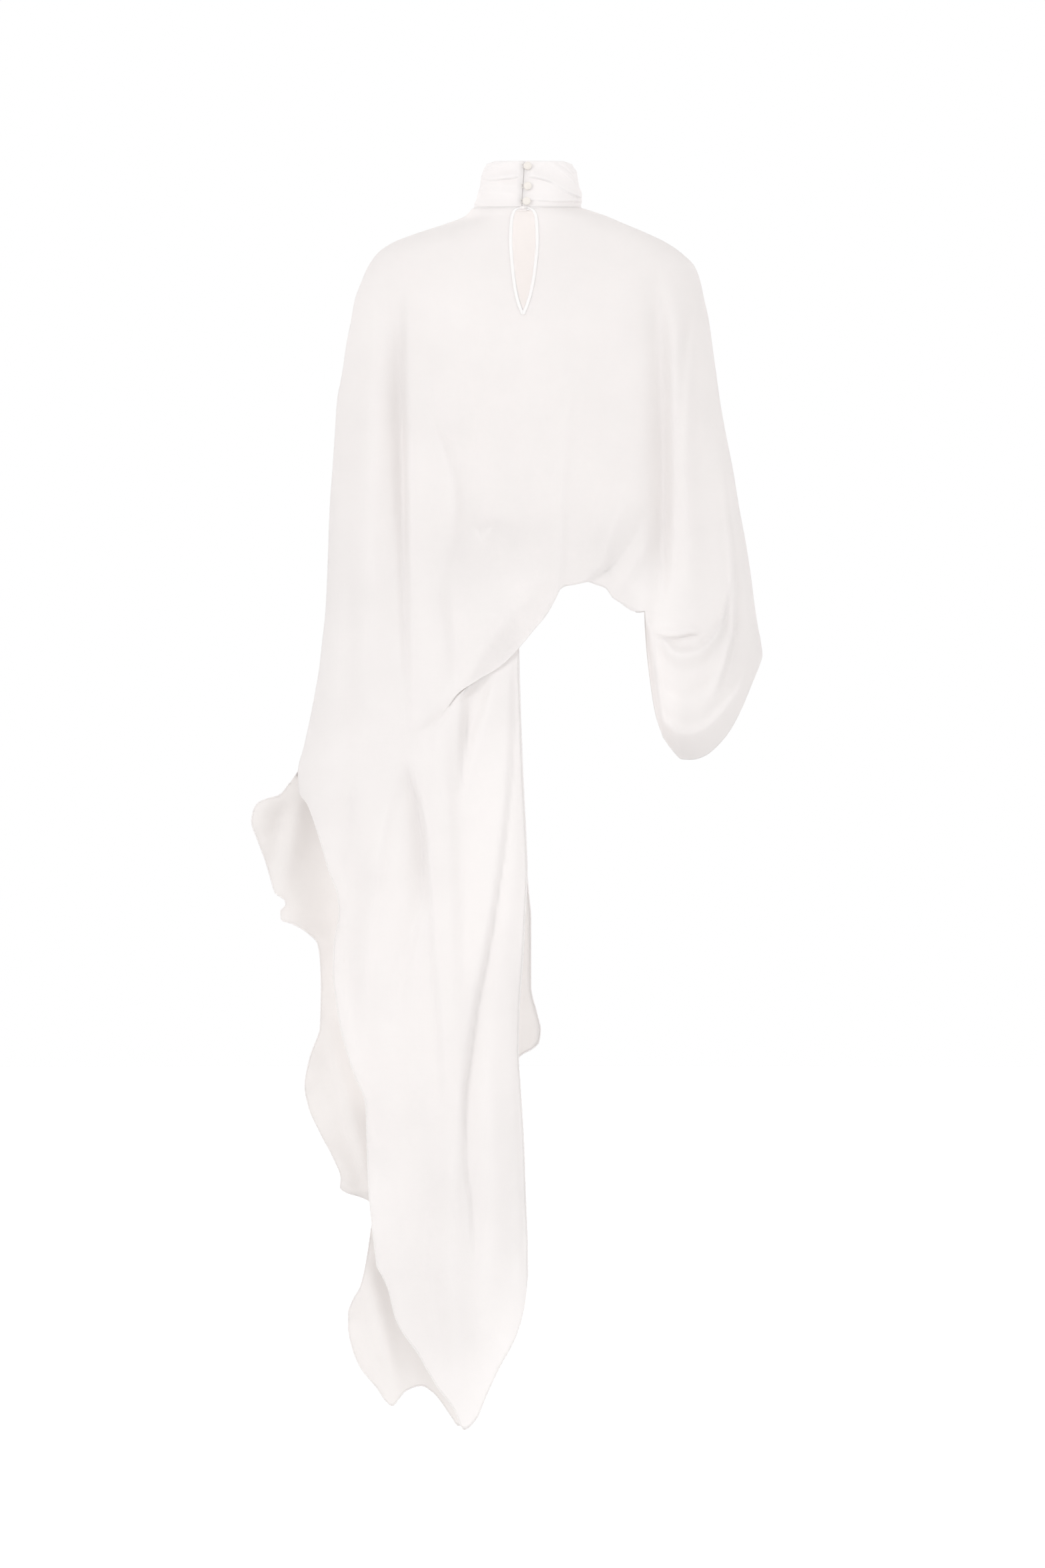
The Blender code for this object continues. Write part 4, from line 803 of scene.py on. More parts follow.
def cloth_finish(name, light, dark, pebble=0.35, yarn=0.2, sheen=0.25, rough=0.78, sheer=0.0):
    """A woven white cloth: two tones, the depth of its pebble and yarns, its sheen, and how sheer it is."""
    made = bpy.data.materials.new(name)
    made.use_nodes = True
    nodes, links = made.node_tree.nodes, made.node_tree.links
    shader = fill_in(nodes["Principled BSDF"], {
        "Roughness": rough, "Sheen Weight": sheen, "Sheen Roughness": 0.5, "Specular IOR Level": 0.3,
    })
    place = nodes.new("ShaderNodeTexCoord").outputs["Object"]

    def pattern(kind, values):
        """A texture on the piece's own coordinates."""
        texture = fill_in(nodes.new("ShaderNodeTex" + kind), values)
        links.new(place, texture.inputs["Vector"])
        return texture

    def yarns(direction, scale):
        wave = pattern("Wave", {"Scale": scale, "Distortion": 1.5, "Detail": 1.0, "Detail Scale": 2.0})
        wave.bands_direction = direction
        return wave.outputs["Fac"]

    def bumped(height, depth, before=None):
        bump = fill_in(nodes.new("ShaderNodeBump"), {"Strength": depth, "Distance": 0.0006})
        links.new(height, bump.inputs["Height"])
        if before:
            links.new(before, bump.inputs["Normal"])
        return bump.outputs["Normal"]

    tone = nodes.new("ShaderNodeMix")
    tone.data_type = "RGBA"
    fill_in(tone, {"A": (*dark, 1), "B": (*light, 1)})
    spread = fill_in(nodes.new("ShaderNodeMapRange"), {"From Min": 0.35, "From Max": 0.65})
    cloudy = pattern("Noise", {"Scale": 9.0, "Detail": 3.0, "Roughness": 0.5})
    links.new(cloudy.outputs["Fac"], spread.inputs["Value"])
    links.new(spread.outputs["Result"], tone.inputs["Factor"])
    links.new(tone.outputs["Result"], shader.inputs["Base Color"])

    woven = nodes.new("ShaderNodeMath")
    woven.operation = "MULTIPLY"
    links.new(yarns("X", 330.0), woven.inputs[0])
    links.new(yarns("Z", 300.0), woven.inputs[1])
    grain = pattern("Noise", {"Scale": 650.0, "Detail": 3.0, "Roughness": 0.6})
    surface = bumped(grain.outputs["Fac"], pebble, bumped(woven.outputs["Value"], yarn))
    links.new(surface, shader.inputs["Normal"])
    if sheer:
        through = nodes.new("ShaderNodeBsdfTranslucent")
        links.new(tone.outputs["Result"], through.inputs["Color"])
        both = fill_in(nodes.new("ShaderNodeMixShader"), {"Fac": sheer})
        links.new(shader.outputs["BSDF"], both.inputs[1])
        links.new(through.outputs["BSDF"], both.inputs[2])
        links.new(both.outputs["Shader"], nodes["Material Output"].inputs["Surface"])
    return made


SHEER = 0.45  # the share of the light that goes through one face of the crepe
CREPE = cloth_finish("white crepe", (0.955, 0.938, 0.934), (0.94, 0.923, 0.919), sheer=SHEER)
# The inner face is duller, and its colour is painted darker than the outer face as shade, so the lobes seen
# from inside read as shaded.
INNER_PAINTED_SHADE = cloth_finish(
    "inner face of the crepe, painted darker as shade", (0.875, 0.851, 0.837), (0.85, 0.826, 0.812), sheen=0.15, rough=0.85,
    sheer=SHEER,
)
# A lighter, sheerer copy of the crepe for the hidden layers: painted light, so the doubled cloth in front of
# them is not shaded darker.
HIDDEN_CREPE_PAINTED_LIGHT = cloth_finish(
    "hidden crepe painted lighter to pass light", (0.97, 0.955, 0.95), (0.96, 0.945, 0.94), sheen=0.1, rough=0.85,
    sheer=0.85,
)
LINING = cloth_finish(
    "lining cloth", (0.94, 0.915, 0.905), (0.92, 0.895, 0.885), pebble=0.15, yarn=0.35, sheer=SHEER
)
# The facing's colour is painted dark as shade, so that the slit of the closing reads as a dark line.
SHADE = cloth_finish("facing painted dark as shade", (0.80, 0.78, 0.765), (0.76, 0.74, 0.725), pebble=0.15, yarn=0.3)
BINDING = cloth_finish(
    "bias binding", (0.985, 0.97, 0.965), (0.975, 0.96, 0.955), pebble=0.2, yarn=0.4, sheen=0.3, sheer=0.18
)
HEM = cloth_finish(
    "rolled hem", (0.97, 0.952, 0.946), (0.955, 0.937, 0.931), pebble=0.3, yarn=0.3, sheer=SHEER
)
COVER = cloth_finish(
    "button cover", (0.87, 0.825, 0.775), (0.84, 0.795, 0.745), pebble=0.2, yarn=0.6, sheen=0.3,
)
THREAD = cloth_finish(
    "white thread", (0.80, 0.77, 0.74), (0.76, 0.73, 0.70), pebble=0.5, yarn=0.0, sheen=0.3,
)
print("finishes:", [finish.name for finish in (CREPE, INNER_PAINTED_SHADE, HIDDEN_CREPE_PAINTED_LIGHT, LINING, SHADE, BINDING, HEM, COVER, THREAD)])

# %% [markdown]
# ## The back
# The back is cut in one: body, the cape's back leaf and the back half of the sleeve. The columns lie
# closer where the folds are steep.

# %% Columns and rows of the back
LEFT_COLUMNS = (
    -1, -0.992, -0.97, -0.93, -0.88, -0.82, -0.755, -0.69, -0.635, -0.59, -0.55, -0.51, -0.46, -0.4, -0.335,
    -0.27, -0.2, -0.13, -0.06, 0,
)
MID_COLUMNS = (0, 0.06, 0.125, 0.19, 0.25, 0.31, 0.375, 0.42, 0.475, SLEEVE_START)
RIGHT_COLUMNS = (SLEEVE_START, 0.548, 0.598, 0.65, 0.7, 0.76, 0.82, 0.865, 0.89, 0.915, 0.94, 0.965, 0.985, 1)
KEYHOLE_ROW = 3.78  # near the keyhole's tip, and moved to it in the back
BODY_ROWS = (
    0, 0.45, 1.0, 1.7, 2.5, 3.2, KEYHOLE_ROW, 4.5, 5.4, 6.3, 7.2, 8.0, 8.6, 9.0, 9.3, 9.6, 9.85, LAST_ROW,
)
SLEEVE_ROWS = (0, 0.1, 0.2, 0.3, 0.42, 0.54, 0.66, 0.78, 0.9, 1)


def tip_row():
    """The row whose middle is at the keyhole's tip."""
    ts = np.linspace(2, 6, 4001)
    return float(ts[np.argmin(np.abs(MID_Z(ts) - KEYHOLE_TIP))])


def of_side(place, side):
    return lambda s, t: place(s, t, side)


def patches(side, *grids):
    """The grids of one panel, each given by its columns, its rows and the function that places it."""
    return [patch_of(columns, rows, of_side(place, side)) for columns, rows, place in grids]


def left_body(s, t, side):
    """The left half of the body, whose last column stays on its own side of the keyhole."""
    return body_point(np.minimum(s, -1e-9), t, side)


left, middle, right = (dense(columns, 4) for columns in (LEFT_COLUMNS, MID_COLUMNS, RIGHT_COLUMNS))
body_rows = dense([tip_row() if row == KEYHOLE_ROW else row for row in BODY_ROWS], 8)
bend_rows, layer_rows = dense((0, 0.33, 0.66, 1), 4), dense((1, 2), 8)
seen = patches(
    -1, (left, body_rows, left_body), (middle, body_rows, body_point), (right, body_rows, body_point),
    (left, bend_rows, roll_point), (middle, bend_rows, roll_point),
)
hidden = patches(
    -1, (left, layer_rows, roll_point), (middle, layer_rows, roll_point),
    (left, dense((2, 2.33, 2.66, 3), 4), roll_point), (left, np.linspace(0, 1, 191), leaf_point),
)
sleeve = patches(-1, (right, dense(SLEEVE_ROWS, 11), sleeve_point))
back = joined(seen + [turned_in(bm) for bm in hidden] + sleeve)
back_cloth = piece("crepe_back", face_out(back, (0, -1, 0)), (CREPE, INNER_PAINTED_SHADE, HIDDEN_CREPE_PAINTED_LIGHT), CLOTH, ["back_panel"])

# %% [markdown]
# ## The front
# The front is hidden in the photograph, apart from the lobes of its leaf past the back leaf's edge. It
# is cut like the back, without the keyhole, and its leaf hangs straight from the low row.

# %% Columns and rows of the front
FRONT_COLUMNS = (-1, -0.99, -0.96, -0.9, -0.82, -0.72, -0.62, -0.54, -0.46, -0.36, -0.24, -0.12, 0)
FRONT_MID = (0, 0.12, 0.24, 0.36, 0.45, SLEEVE_START)

left, middle, right = dense(FRONT_COLUMNS, 5), dense(FRONT_MID, 5), dense(RIGHT_COLUMNS, 3)
body_rows = dense(BODY_ROWS, 5)
front = joined(patches(
    1, (left, body_rows, body_point), (middle, body_rows, body_point), (right, body_rows, body_point),
    (middle, dense((0, 0.5, 1, 2), 6), roll_point), (left, np.linspace(0, 1, 241), leaf_point),
    (right, dense(SLEEVE_ROWS, 4), sleeve_point),
))
front_cloth = piece("crepe_front", face_out(front, (0, 1, 0)), (CREPE, INNER_PAINTED_SHADE), CLOTH, ["front_panel"])

# %% [markdown]
# ## The band inside the waist
# An upright oval band holds the waist hems inside. It shows as a faint step through the back.

# %% The waist band
BAND_TOP, BAND_LOW = -425.0, -500.0


def band_point(turn, up):
    angle = turn * 2 * np.pi
    x = BAND_CENTRE[0] + BAND_HALF_X * np.sin(angle)
    y = BAND_CENTRE[1] - BAND_HALF_Y * np.cos(angle)
    return x, y, BAND_LOW + (BAND_TOP - BAND_LOW) * up + 0 * x


band_grid = joined([patch_of(np.linspace(0, 1, 161), np.linspace(0, 1, 9), band_point)])
bmesh.ops.recalc_face_normals(band_grid, faces=band_grid.faces)
waist_band = piece("waist_band", band_grid, (LINING,), CLOTH, ["hem_band"])

# %% [markdown]
# ## The collar
# The collar is a tall band of crepe on the bias, folded double and pushed down into pleats. Each pleat
# is a line round the neck: above it the cloth bulges, and below it drops back within a millimetre or
# two, so that it reads as a crease. Left and right of the closing the pleats run their own way.

# %% Where a point of the collar lies
COLLAR_WALL = 2.0
COLLAR_LOW, COLLAR_TOP = 0.4, 62.0
COLLAR_LEFT = curve(
    (1, -66.5), (5, -66.5), (11, -64), (20, -61.5), (29, -58.5), (38, -57.5), (47, -55.5), (56, -52.5),
    (62, -50),
)
COLLAR_RIGHT = curve((1, 81), (11, 81), (20, 80.5), (29, 78), (38, 76), (47, 75), (56, 71), (62, 68.5))
COLLAR_SHIFT = curve((1, 0), (62, 12))
COLLAR_DEPTH = curve((1, 67), (62, 54))
CLOSING_X = curve((1, -0.9), (62, 2.6))
CLOSING_GAP, GAP_TURNS = 0.6, 12  # between the ends, and the degrees over which they draw apart
FRONT_TOP_DROP = 7.0
COLLAR_INSET = 1.2  # the middle of the doubled cloth lies this far inside the outline
SIDE_CALM, SIDE_TURNS = 0.75, (60, 88, 92, 120)  # the pleats are calmer where they make the outline
SIDE_DIP, SIDE_DIP_FROM = 3, 48  # and the top dips there
PLEATS = (  # side, height over the turn, how far it stands out, widths above and below, strength over the turn
    (-1, curve((-180, 46), (-60, 39.5), (-46, 37.5), (-28, 39), (-10, 41), (0, 41)), 4.6, 7.0, 1.3,
     curve((-180, 0.8), (-60, 0.4), (-46, 0.6), (-28, 1), (-12, 1), (-7, 0))),
    (-1, curve((-180, 38), (-30, 35.5), (-10, 36.5)), -2.2, 3.0, 5.0,
     curve((-180, 0), (-34, 0), (-22, 1), (-12, 0.8), (-6, 0))),
    (-1, curve((-180, 22), (-60, 24), (-20, 20), (0, 17)), 2.6, 8.0, 3.0,
     curve((-180, 1), (-60, 0.6), (-20, 0.35), (-6, 0))),
    (-1, curve((-180, 34), (-60, 33), (-30, 31), (0, 30)), 1.6, 5.0, 3.0,
     curve((-180, 1), (-50, 0.6), (-20, 0.2), (-6, 0))),
    (-1, curve((-180, 56), (-60, 54), (-36, 57), (-10, 61)), 2.4, 5.0, 3.0,
     curve((-180, 0.8), (-60, 1), (-30, 0.6), (-10, 0))),
    (1,
     curve((0, 42), (10, 41), (26, 36.5), (38, 30), (51, 21.5), (72, 14), (100, 17), (180, 22)), 5.0, 8.0,
     1.1,
     curve((5, 0), (10, 0.9), (18, 1), (26, 0.8), (34, 0.4), (50, 0.5), (66, 0.9), (100, 0.8), (180, 1))),
    (1, curve((0, 10.5), (20, 9.0), (40, 8.2), (72, 9.4), (110, 7), (180, 6)), 3.4, 7.0, 1.0,
     curve((2, 0.1), (8, 0.6), (40, 0.9), (66, 1), (75, 1), (120, 0.4), (165, 0))),
    (1, curve((50, 5), (90, 5)), -3.0, 3.5, 3.5, curve((60, 0), (70, 1), (84, 1), (100, 0))),
    (1, curve((30, 62), (45, 52), (60, 42), (75, 34), (110, 40), (180, 46)), 2.2, 5.0, 2.4,
     curve((30, 0), (48, 0.9), (75, 1), (180, 1))),
    (1, curve((50, 61), (62, 52), (75, 45), (110, 54), (180, 56)), 1.8, 4.0, 2.2,
     curve((46, 0), (60, 1), (75, 1), (180, 0.8))),
)


def collar_point(turn, up):
    """turn in degrees from the back's middle, minus to the left; up in mm along the back."""
    left, right = COLLAR_LEFT(up), COLLAR_RIGHT(up)
    half, centre = (right - left) / 2 - COLLAR_INSET, (left + right) / 2
    relief = np.zeros_like(up)
    for side, line, height, above, below, strength in PLEATS:
        bulge = height * hump(up - line(turn), below, above)
        relief = relief + ((turn < 0) == (side < 0)) * strength(turn) * bulge
    start = np.arcsin(np.clip((CLOSING_X(up) - centre) / half, -1, 1))
    angle = start + np.radians(turn) * (1 - np.sign(turn + 1e-9) * start / np.pi)
    calm = 1 - SIDE_CALM * within(np.abs(turn), *SIDE_TURNS)
    x = centre + (half + relief * calm - COLLAR_INSET) * np.sin(angle)
    x = x + np.where(turn < 0, -1, 1) * CLOSING_GAP / 2 * (1 - ease(np.abs(turn), 0, GAP_TURNS))
    y = COLLAR_SHIFT(up) - 2.5 - (COLLAR_DEPTH(up) + relief - COLLAR_INSET) * np.cos(angle)
    drop = FRONT_TOP_DROP * (up - COLLAR_LOW) / (COLLAR_TOP - COLLAR_LOW) * ease(-np.cos(angle), 0, 1)
    dip = SIDE_DIP * ease(np.abs(np.sin(angle)), 0.78, 1) * ease(up, SIDE_DIP_FROM, COLLAR_TOP)
    return x, y, up - drop - dip


print(len(PLEATS), "pleats in a collar", round(COLLAR_TOP - COLLAR_LOW), "mm high")


# %% The collar
COLLAR_TURNS = np.concatenate([
    np.linspace(0, 60, 49), np.linspace(60, 120, 41)[1:], np.linspace(120, 180, 31)[1:],
])
COLLAR_UPS = np.linspace(COLLAR_LOW, COLLAR_TOP, 89)
collar_grid = joined([
    patch_of(-COLLAR_TURNS[::-1], COLLAR_UPS, lambda t, u: collar_point(np.minimum(t, -1e-7), u)),
    patch_of(COLLAR_TURNS, COLLAR_UPS, collar_point),
])
bmesh.ops.recalc_face_normals(collar_grid, faces=collar_grid.faces)
stand_collar = piece("stand_collar", collar_grid, (CREPE,), COLLAR_WALL, ["collar"])

# %% [markdown]
# Behind the closing lies a narrow facing, painted dark as shade, so that the slit between the collar's
# ends reads as a fine dark line and not as an open gap.

# %% The facing behind the closing
FACING_TURNS = (-9.0, -6.0, -3.0, 3.0, 6.0, 9.0)
FACING_GAP = 0.6


def facing_point(across, up):
    """It lies behind the innermost place of the collar near the closing."""
    inner = np.max([collar_point(np.full_like(up, turn), up)[1] for turn in FACING_TURNS], axis=0)
    return CLOSING_X(up) + across, inner + COLLAR_WALL / 2 + FACING_GAP, up


facing_grid = joined([patch_of(np.linspace(-5, 5, 7), np.linspace(1, COLLAR_TOP - 2, 25), facing_point)])
closing_facing = piece("closing_facing", face_out(facing_grid, (0, -1, 0)), (SHADE,), 0.8)

# %% [markdown]
# ## The keyhole's binding
# A narrow bias strip is folded over the raw edge of the slit. It is a shallow tube that lies on the
# back and tapers where its two sides meet at the tip.

# %% The keyhole binding
BINDING_WIDTH, BINDING_WALL = 4.2, 0.9
BINDING_OFF, BINDING_CROWN = 0.3, 0.9  # its edges lie so far off the cloth, and its middle so much further
BINDING_TAPER = (KEYHOLE_TIP + 2, KEYHOLE_TIP - 6)
BINDING_ZS = (
    -1, -3, -6, -10, -16, -26, -38, -50, -62, -74, -86, -97, -107, -116, -124, -131, -136.5, KEYHOLE_TIP, -146,
)


def binding_point(out, z, side):
    """out runs from the slit's edge, 0, to the binding's outer edge, 1."""
    beside = (KEYHOLE(z) + 0.2) * (z > KEYHOLE_TIP)
    taper = 1 - 0.35 * ease(z, *BINDING_TAPER)
    x = KEYHOLE_X(z) + side * (beside + out * BINDING_WIDTH * taper)
    lift = CLOTH / 2 + BINDING_OFF + BINDING_CROWN * np.sin(np.pi * np.clip(out, 0, 1)) ** 0.7
    return x, body_y(x, z, -1) - lift, z


binding_grid = joined([
    patch_of(np.linspace(0, 1, 11), dense(BINDING_ZS, 6), of_side(binding_point, side)) for side in (-1, 1)
])
keyhole_edge = piece(
    "keyhole_edge", face_out(binding_grid, (0, -1, 0)), (BINDING,), BINDING_WALL, ["keyhole_binding"]
)

# %% [markdown]
# ## Buttons and loops
# Three small buttons close the collar, each a metal mould covered with the blouse's own cloth. A button
# is a profile spun round its axis. Its loop is a thin cord of twisted thread from the collar's other
# end, round the shank and back.

# %% The buttons
SHANK_ACROSS, LOOP_THICK = 3.2, 1.0
TUCKS, TUCK_DEEP = 14, 0.12  # the cover is gathered under the rim in small tucks
BUTTONS = (("top", 6.8, 55.6), ("mid", 6.8, 28.2), ("low", 5.4, 7.6))
BUTTON_PROFILE = (  # radius, distance out from the foot of the shank
    (0, 0), (1.5, 0), (1.6, 0.3), (1.6, 2.2), (1.9, 2.6), (4.2, 2.6), (5.0, 2.8), (5.4, 3.2), (5.5, 3.6),
    (5.45, 4.0), (5.2, 4.4), (4.7, 4.8), (3.9, 5.15), (2.9, 5.45), (1.5, 5.65), (0.6, 5.7), (0, 5.7),
)


def collar_face():
    turns, ups = np.meshgrid(np.linspace(-24, 24, 193), np.linspace(COLLAR_LOW, COLLAR_TOP, 123))
    left, right = collar_point(np.minimum(turns, -1e-7), ups), collar_point(np.maximum(turns, 0), ups)
    return [np.where(turns < 0, a, b).ravel() for a, b in zip(left, right)]


FACE_X, FACE_Y, FACE_Z = collar_face()


def collar_outside(x, z, around):
    """y of the collar's outer face where it stands out most, within a distance of a place."""
    near = np.hypot(FACE_X - x, FACE_Z - z) < around
    return float(FACE_Y[near].min()) - COLLAR_WALL / 2


def covered_button(x, z):
    bm = bmesh.new()
    corners = [bm.verts.new((r, 0, h)) for r, h in BUTTON_PROFILE]
    edges = [bm.edges.new(pair) for pair in zip(corners, corners[1:])]
    bmesh.ops.spin(
        bm, geom=corners + edges, cent=(0, 0, 0), axis=(0, 0, 1), angle=2 * np.pi, steps=48,
        use_merge=True, use_duplicate=False,
    )
    bmesh.ops.remove_doubles(bm, verts=bm.verts, dist=1e-5)
    for vert in bm.verts:
        r, turn = np.hypot(vert.co.x, vert.co.y), np.arctan2(vert.co.y, vert.co.x)
        vert.co.z += TUCK_DEEP * np.sin(TUCKS * turn) * ease(r, 3.5, 5.2) * (1 - ease(vert.co.z, 3.4, 4.6))
    foot = collar_outside(x, z, 2.4) - 0.1
    outwards = Matrix.Translation((x, foot, z)) @ Matrix.Rotation(np.pi / 2, 4, "X")
    bmesh.ops.transform(bm, matrix=Matrix.Scale(MM, 4) @ outwards, verts=bm.verts)
    bmesh.ops.recalc_face_normals(bm, faces=bm.faces)
    return bm


for name, x, z in BUTTONS:
    piece("covered_button_" + name, covered_button(x, z), (COVER,), nodes=["button_" + name])


# %% [markdown]
# Cords, rolled hems and seams are all a tube along a path. The tube is a grid too, rolled up round the
# path, so the same function that placed the cloth places it.

# %% A tube along a path
def even_path(points, step):
    """The path with a point at every step of its length, in mm."""
    points = np.array(points, float)
    along = np.concatenate([[0], np.cumsum(np.linalg.norm(np.diff(points, axis=0), axis=1))])
    at = np.linspace(0, along[-1], max(int(along[-1] / step), 4) + 1)
    return np.stack([np.interp(at, along, points[:, k]) for k in range(3)], 1)


def tube_of(points, radius, sides=8, flat=1.0, twist=0.0):
    """A tube round the path. flat squeezes it along Y, and twist puts the ridges of a laid cord on it."""
    points = np.array(points, float)
    ahead = np.gradient(points, axis=0)
    ahead /= np.linalg.norm(ahead, axis=1)[:, None]
    across = np.cross(ahead, (0, -1.0, 0))
    weak = np.linalg.norm(across, axis=1) < 0.2
    across[weak] = (1, 0, 0)
    across /= np.linalg.norm(across, axis=1)[:, None]
    up = np.cross(across, ahead)

    def place(turn, at):
        k = np.clip(at.astype(int), 0, len(points) - 1)
        angle = 2 * np.pi * (turn % 1.0)
        r = radius * (1 + 0.16 * np.cos(2 * angle - twist * k)) if twist else radius
        spot = points[k] + (across[k].T * np.cos(angle) * r + up[k].T * np.sin(angle) * r * flat).T
        return spot.T

    bm = joined([patch_of(np.linspace(0, 1, sides + 1), np.arange(len(points)), place)])
    bmesh.ops.holes_fill(bm, edges=[e for e in bm.edges if e.is_boundary], sides=0)
    bmesh.ops.recalc_face_normals(bm, faces=bm.faces)
    return bm


# %% The button loops
LOOP_SPARE, LOOP_START, LOOP_TWIST = 0.15, 2.6, 0.9  # room at the shank, start beside the closing, twist


def loop_path(x, z):
    """From the collar's left end round the shank and back, on the collar's face."""
    half_gap = SHANK_ACROSS / 2 + LOOP_THICK / 2 + LOOP_SPARE
    left_x = float(CLOSING_X(z)) - CLOSING_GAP / 2 - LOOP_START
    turns = np.linspace(-np.pi / 2, np.pi / 2, 25)
    bend = [(x + half_gap * np.cos(a), 0, half_gap * np.sin(a)) for a in turns]
    flat = even_path([(left_x, 0, -half_gap), *bend, (left_x, 0, half_gap)], 0.35)
    return [(px, collar_outside(px, z + pz, 1.6) - LOOP_THICK / 2 - 0.05, z + pz) for px, _, pz in flat]


for name, x, z in BUTTONS:
    thread = tube_of(loop_path(x, z), LOOP_THICK / 2, 10, twist=LOOP_TWIST)
    piece("thread_loop_" + name, thread, (THREAD,), nodes=["loop_" + name])

# %% [markdown]
# ## Hems and seams
# The leaves' edges are finished with a narrow rolled hem, which is thicker than the cloth and catches
# the light. It puckers slightly with every few stitches. The two panels meet in a fine seam along each
# shoulder and arm, and the collar is set on in one round the neck.

# %% The rolled hems
HEM_RADIUS, HEM_TWIST = 0.95, 2.1


def hem_path(side, steps=700):
    """Down the leaf's free edge, along its hem, and up its other side."""
    down = np.stack(leaf_point(np.full(steps, -1.0), np.linspace(0.02, 1, steps), side), 1)
    along = np.stack(leaf_point(np.linspace(-1, 0, steps), np.ones(steps), side), 1)
    back_up = np.stack(leaf_point(np.zeros(steps), np.linspace(1, 0.02, steps), side), 1)
    return even_path(np.concatenate([down, along[1:], back_up[1:]]), 2.2)


back_hem, front_hem = (
    piece("rolled_hem_" + name, tube_of(hem_path(side), HEM_RADIUS, twist=HEM_TWIST), (HEM,))
    for name, side in (("back", -1), ("front", 1))
)


# %% The neck, shoulder and arm seams
NECK_SEAM_RADIUS, SEAM_RADIUS = 1.8, 0.9


def seam_path(edge, inset, low):
    zs = np.linspace(-2, low, 400)
    return even_path(np.stack([edge(zs) + inset, SEAM_Y(zs), zs], 1), 3.0)


def neck_path(turns):
    x, y, _ = collar_point(turns, np.full_like(turns, COLLAR_LOW))
    return even_path(np.stack([x, y, np.full_like(turns, -1.0)], 1), 1.6)


neck_seams = [
    piece("neck_seam_" + name, tube_of(neck_path(np.linspace(first, last, 150)), NECK_SEAM_RADIUS), (CREPE,))
    for name, first, last in (("left", -179, -2.5), ("right", 2.5, 179))
]
left_seam = piece("seam_left", tube_of(seam_path(LEFT_X, 0.5, -752), SEAM_RADIUS), (CREPE,))
right_seam = piece("seam_right", tube_of(seam_path(RIGHT_X, -0.5, -560), SEAM_RADIUS), (CREPE,))

# %% [markdown]
# ## Floor and light
# The photograph is a cut-out on pure white, with soft light from the front. The floor is plain and
# pale, and far enough below that the garment throws no clear shadow on it. Two wide soft lights come
# from before the back, one stronger than the other, so that the flanks of the folds turn a little
# darker. A third, from behind, keeps the thin cloth bright.

# %% The floor
FLOOR_Z = -1.86
floor_grid = bmesh.new()
bmesh.ops.create_circle(floor_grid, cap_ends=True, segments=96, radius=55.0)
bmesh.ops.translate(floor_grid, vec=(0, 0, FLOOR_Z), verts=floor_grid.verts)
floor_mesh = bpy.data.meshes.new("floor")
floor_grid.to_mesh(floor_mesh)
floor_grid.free()
floor = bpy.data.objects.new("floor", floor_mesh)
bpy.context.scene.collection.objects.link(floor)
pale = bpy.data.materials.new("pale floor")
pale.use_nodes = True
fill_in(pale.node_tree.nodes["Principled BSDF"], {
    "Base Color": (0.9, 0.9, 0.9, 1), "Roughness": 0.9,
    "Emission Color": (1, 1, 1, 1), "Emission Strength": 0.3,
})
floor_mesh.materials.append(pale)
floor.visible_diffuse = False
floor.visible_shadow = False  # the light from below stands for what a white floor throws back
print("floor", FLOOR_Z, "m below the neck")

# %% The light
AMBIENT = 0.88
world = bpy.data.worlds.new("white room")
world.use_nodes = True
nodes, links = world.node_tree.nodes, world.node_tree.links
backdrop = fill_in(nodes["Background"], {"Color": (1, 1, 1, 1)})
ray = nodes.new("ShaderNodeLightPath")
brightness = fill_in(nodes.new("ShaderNodeMapRange"), {"To Min": AMBIENT, "To Max": 1.0})
links.new(ray.outputs["Is Camera Ray"], brightness.inputs["Value"])
links.new(brightness.outputs["Result"], backdrop.inputs["Strength"])
bpy.context.scene.world = world
bpy.context.scene.view_settings.view_transform = "Standard"


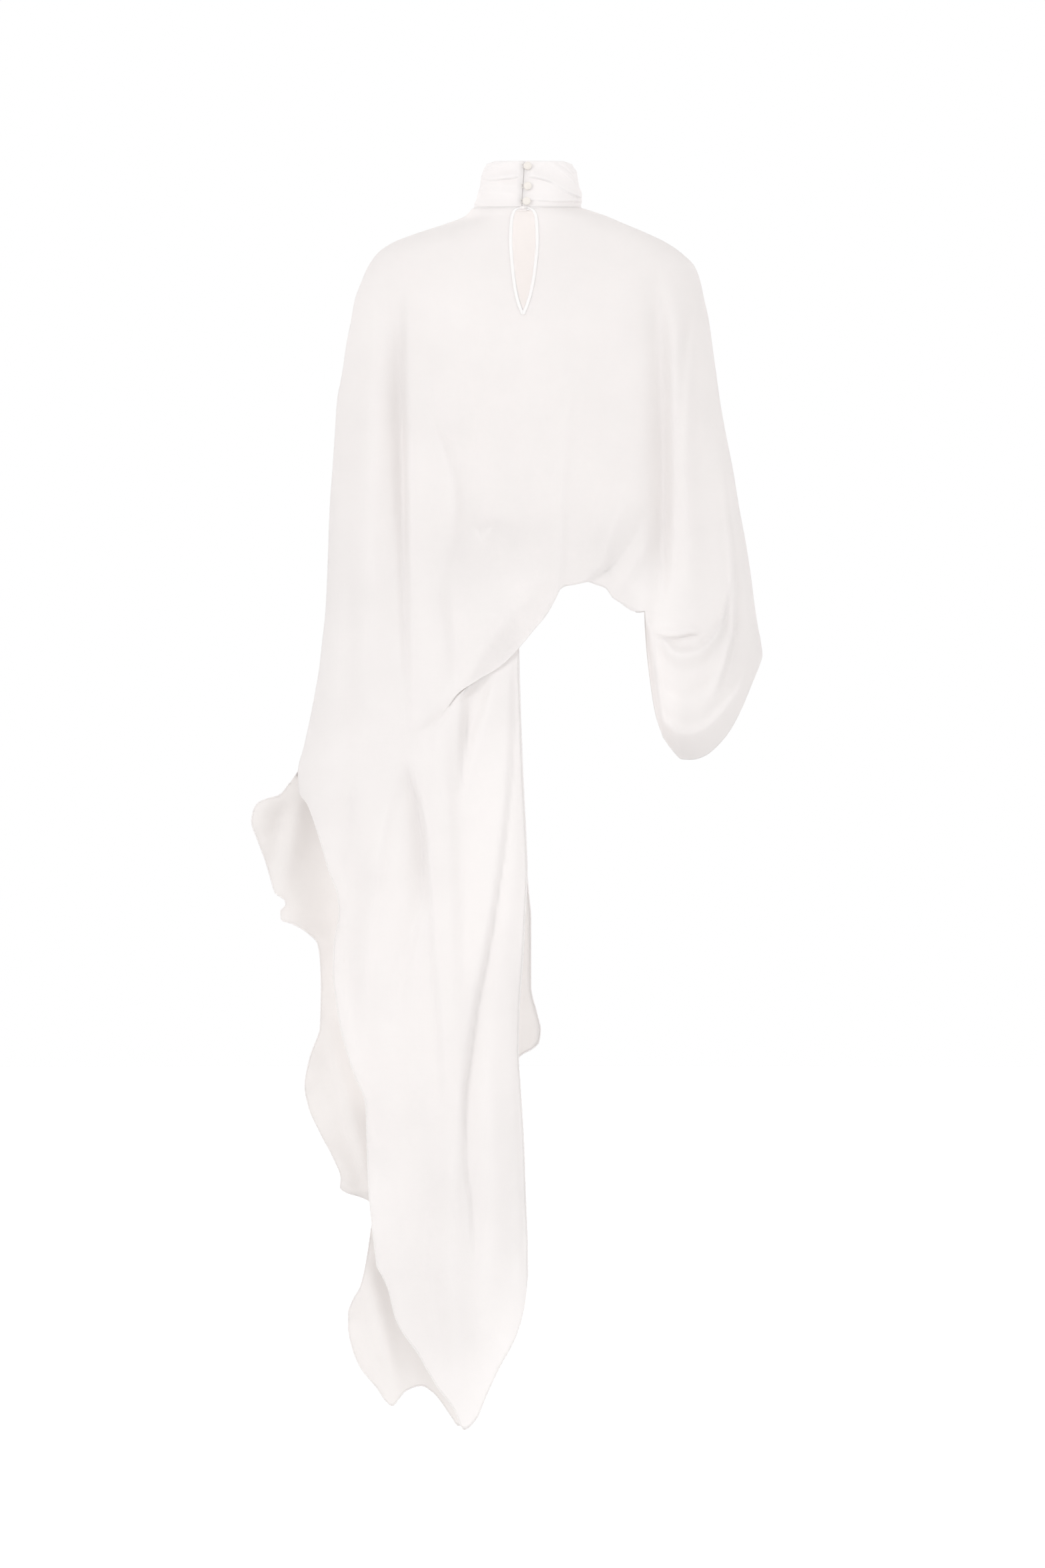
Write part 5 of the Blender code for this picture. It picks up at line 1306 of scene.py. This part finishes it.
def lamp_at(name, kind, place, turn, strength):
    """A lamp in its place; what makes it wide and soft is set by the caller."""
    lamp = bpy.data.objects.new(name, bpy.data.lights.new(name, kind))
    lamp.data.energy = strength
    lamp.location, lamp.rotation_euler = place, turn
    bpy.context.scene.collection.objects.link(lamp)
    return lamp


SOFT_LIGHTS = (  # name, the way that it comes from, spread in degrees, strength
    ("window", (-0.8, -1.0, 0.38), 24, 0.86),
    ("fill", (0.95, -1.0, -0.12), 60, 0.56),
    ("backdrop", (0.1, 1.0, 0.1), 120, 0.6),
)
for name, way, spread, strength in SOFT_LIGHTS:
    way = Vector(way)
    lamp = lamp_at(name, "SUN", way * 3, way.to_track_quat("Z", "Y").to_euler(), strength)
    lamp.data.angle = np.radians(spread)
print("lights:", [row[0] for row in SOFT_LIGHTS])

# %% [markdown]
# Light also reaches the inside, through the neck and the open hems. Soft lamps hung inside, which shine
# on the inner faces of the front, the waist and the cuff, help it along, so that the keyhole doesn't look
# black and the cloth keeps its glow.

# %% The light inside
INSIDE_LIGHTS = (  # name, place and size in metres, degrees turned round the upright, strength in watts
    ("glow_neck", (0.0, -0.045, -0.06), (0.12, 0.08), 0, 0.09),
    ("glow_chest", (0.0, -0.07, -0.28), (0.30, 0.30), 0, 0.30),
    ("glow_sleeve", (0.235, -0.01, -0.56), (0.08, 0.14), 0, 0.05),
    ("glow_cuff", (0.215, -0.035, -0.62), (0.05, 0.14), 90, 0.03),
    ("glow_belt", (0.0, -0.0892, -0.4625), (0.15, 0.06), 180, 0.003),
    ("glow_cape", (-0.13, -0.04, -1.0), (0.20, 0.40), 0, 0.12),
)
for name, place, size, turn, strength in INSIDE_LIGHTS:
    lamp = lamp_at(name, "AREA", place, (np.pi / 2, 0, np.radians(turn)), strength)
    lamp.data.shape = "RECTANGLE"
    lamp.data.size, lamp.data.size_y = size
    lamp.visible_camera = False
print("inside:", [row[0] for row in INSIDE_LIGHTS])

# %% [markdown]
# ## The cut of the cloth
# Each sheet's area is printed, as its mesh has it in one layer.

# %% Sheets
for sheet in (back_cloth, front_cloth, waist_band, stand_collar):
    print(sheet.name, round(sum(face.area for face in sheet.data.polygons), 3), "square metres in one layer")
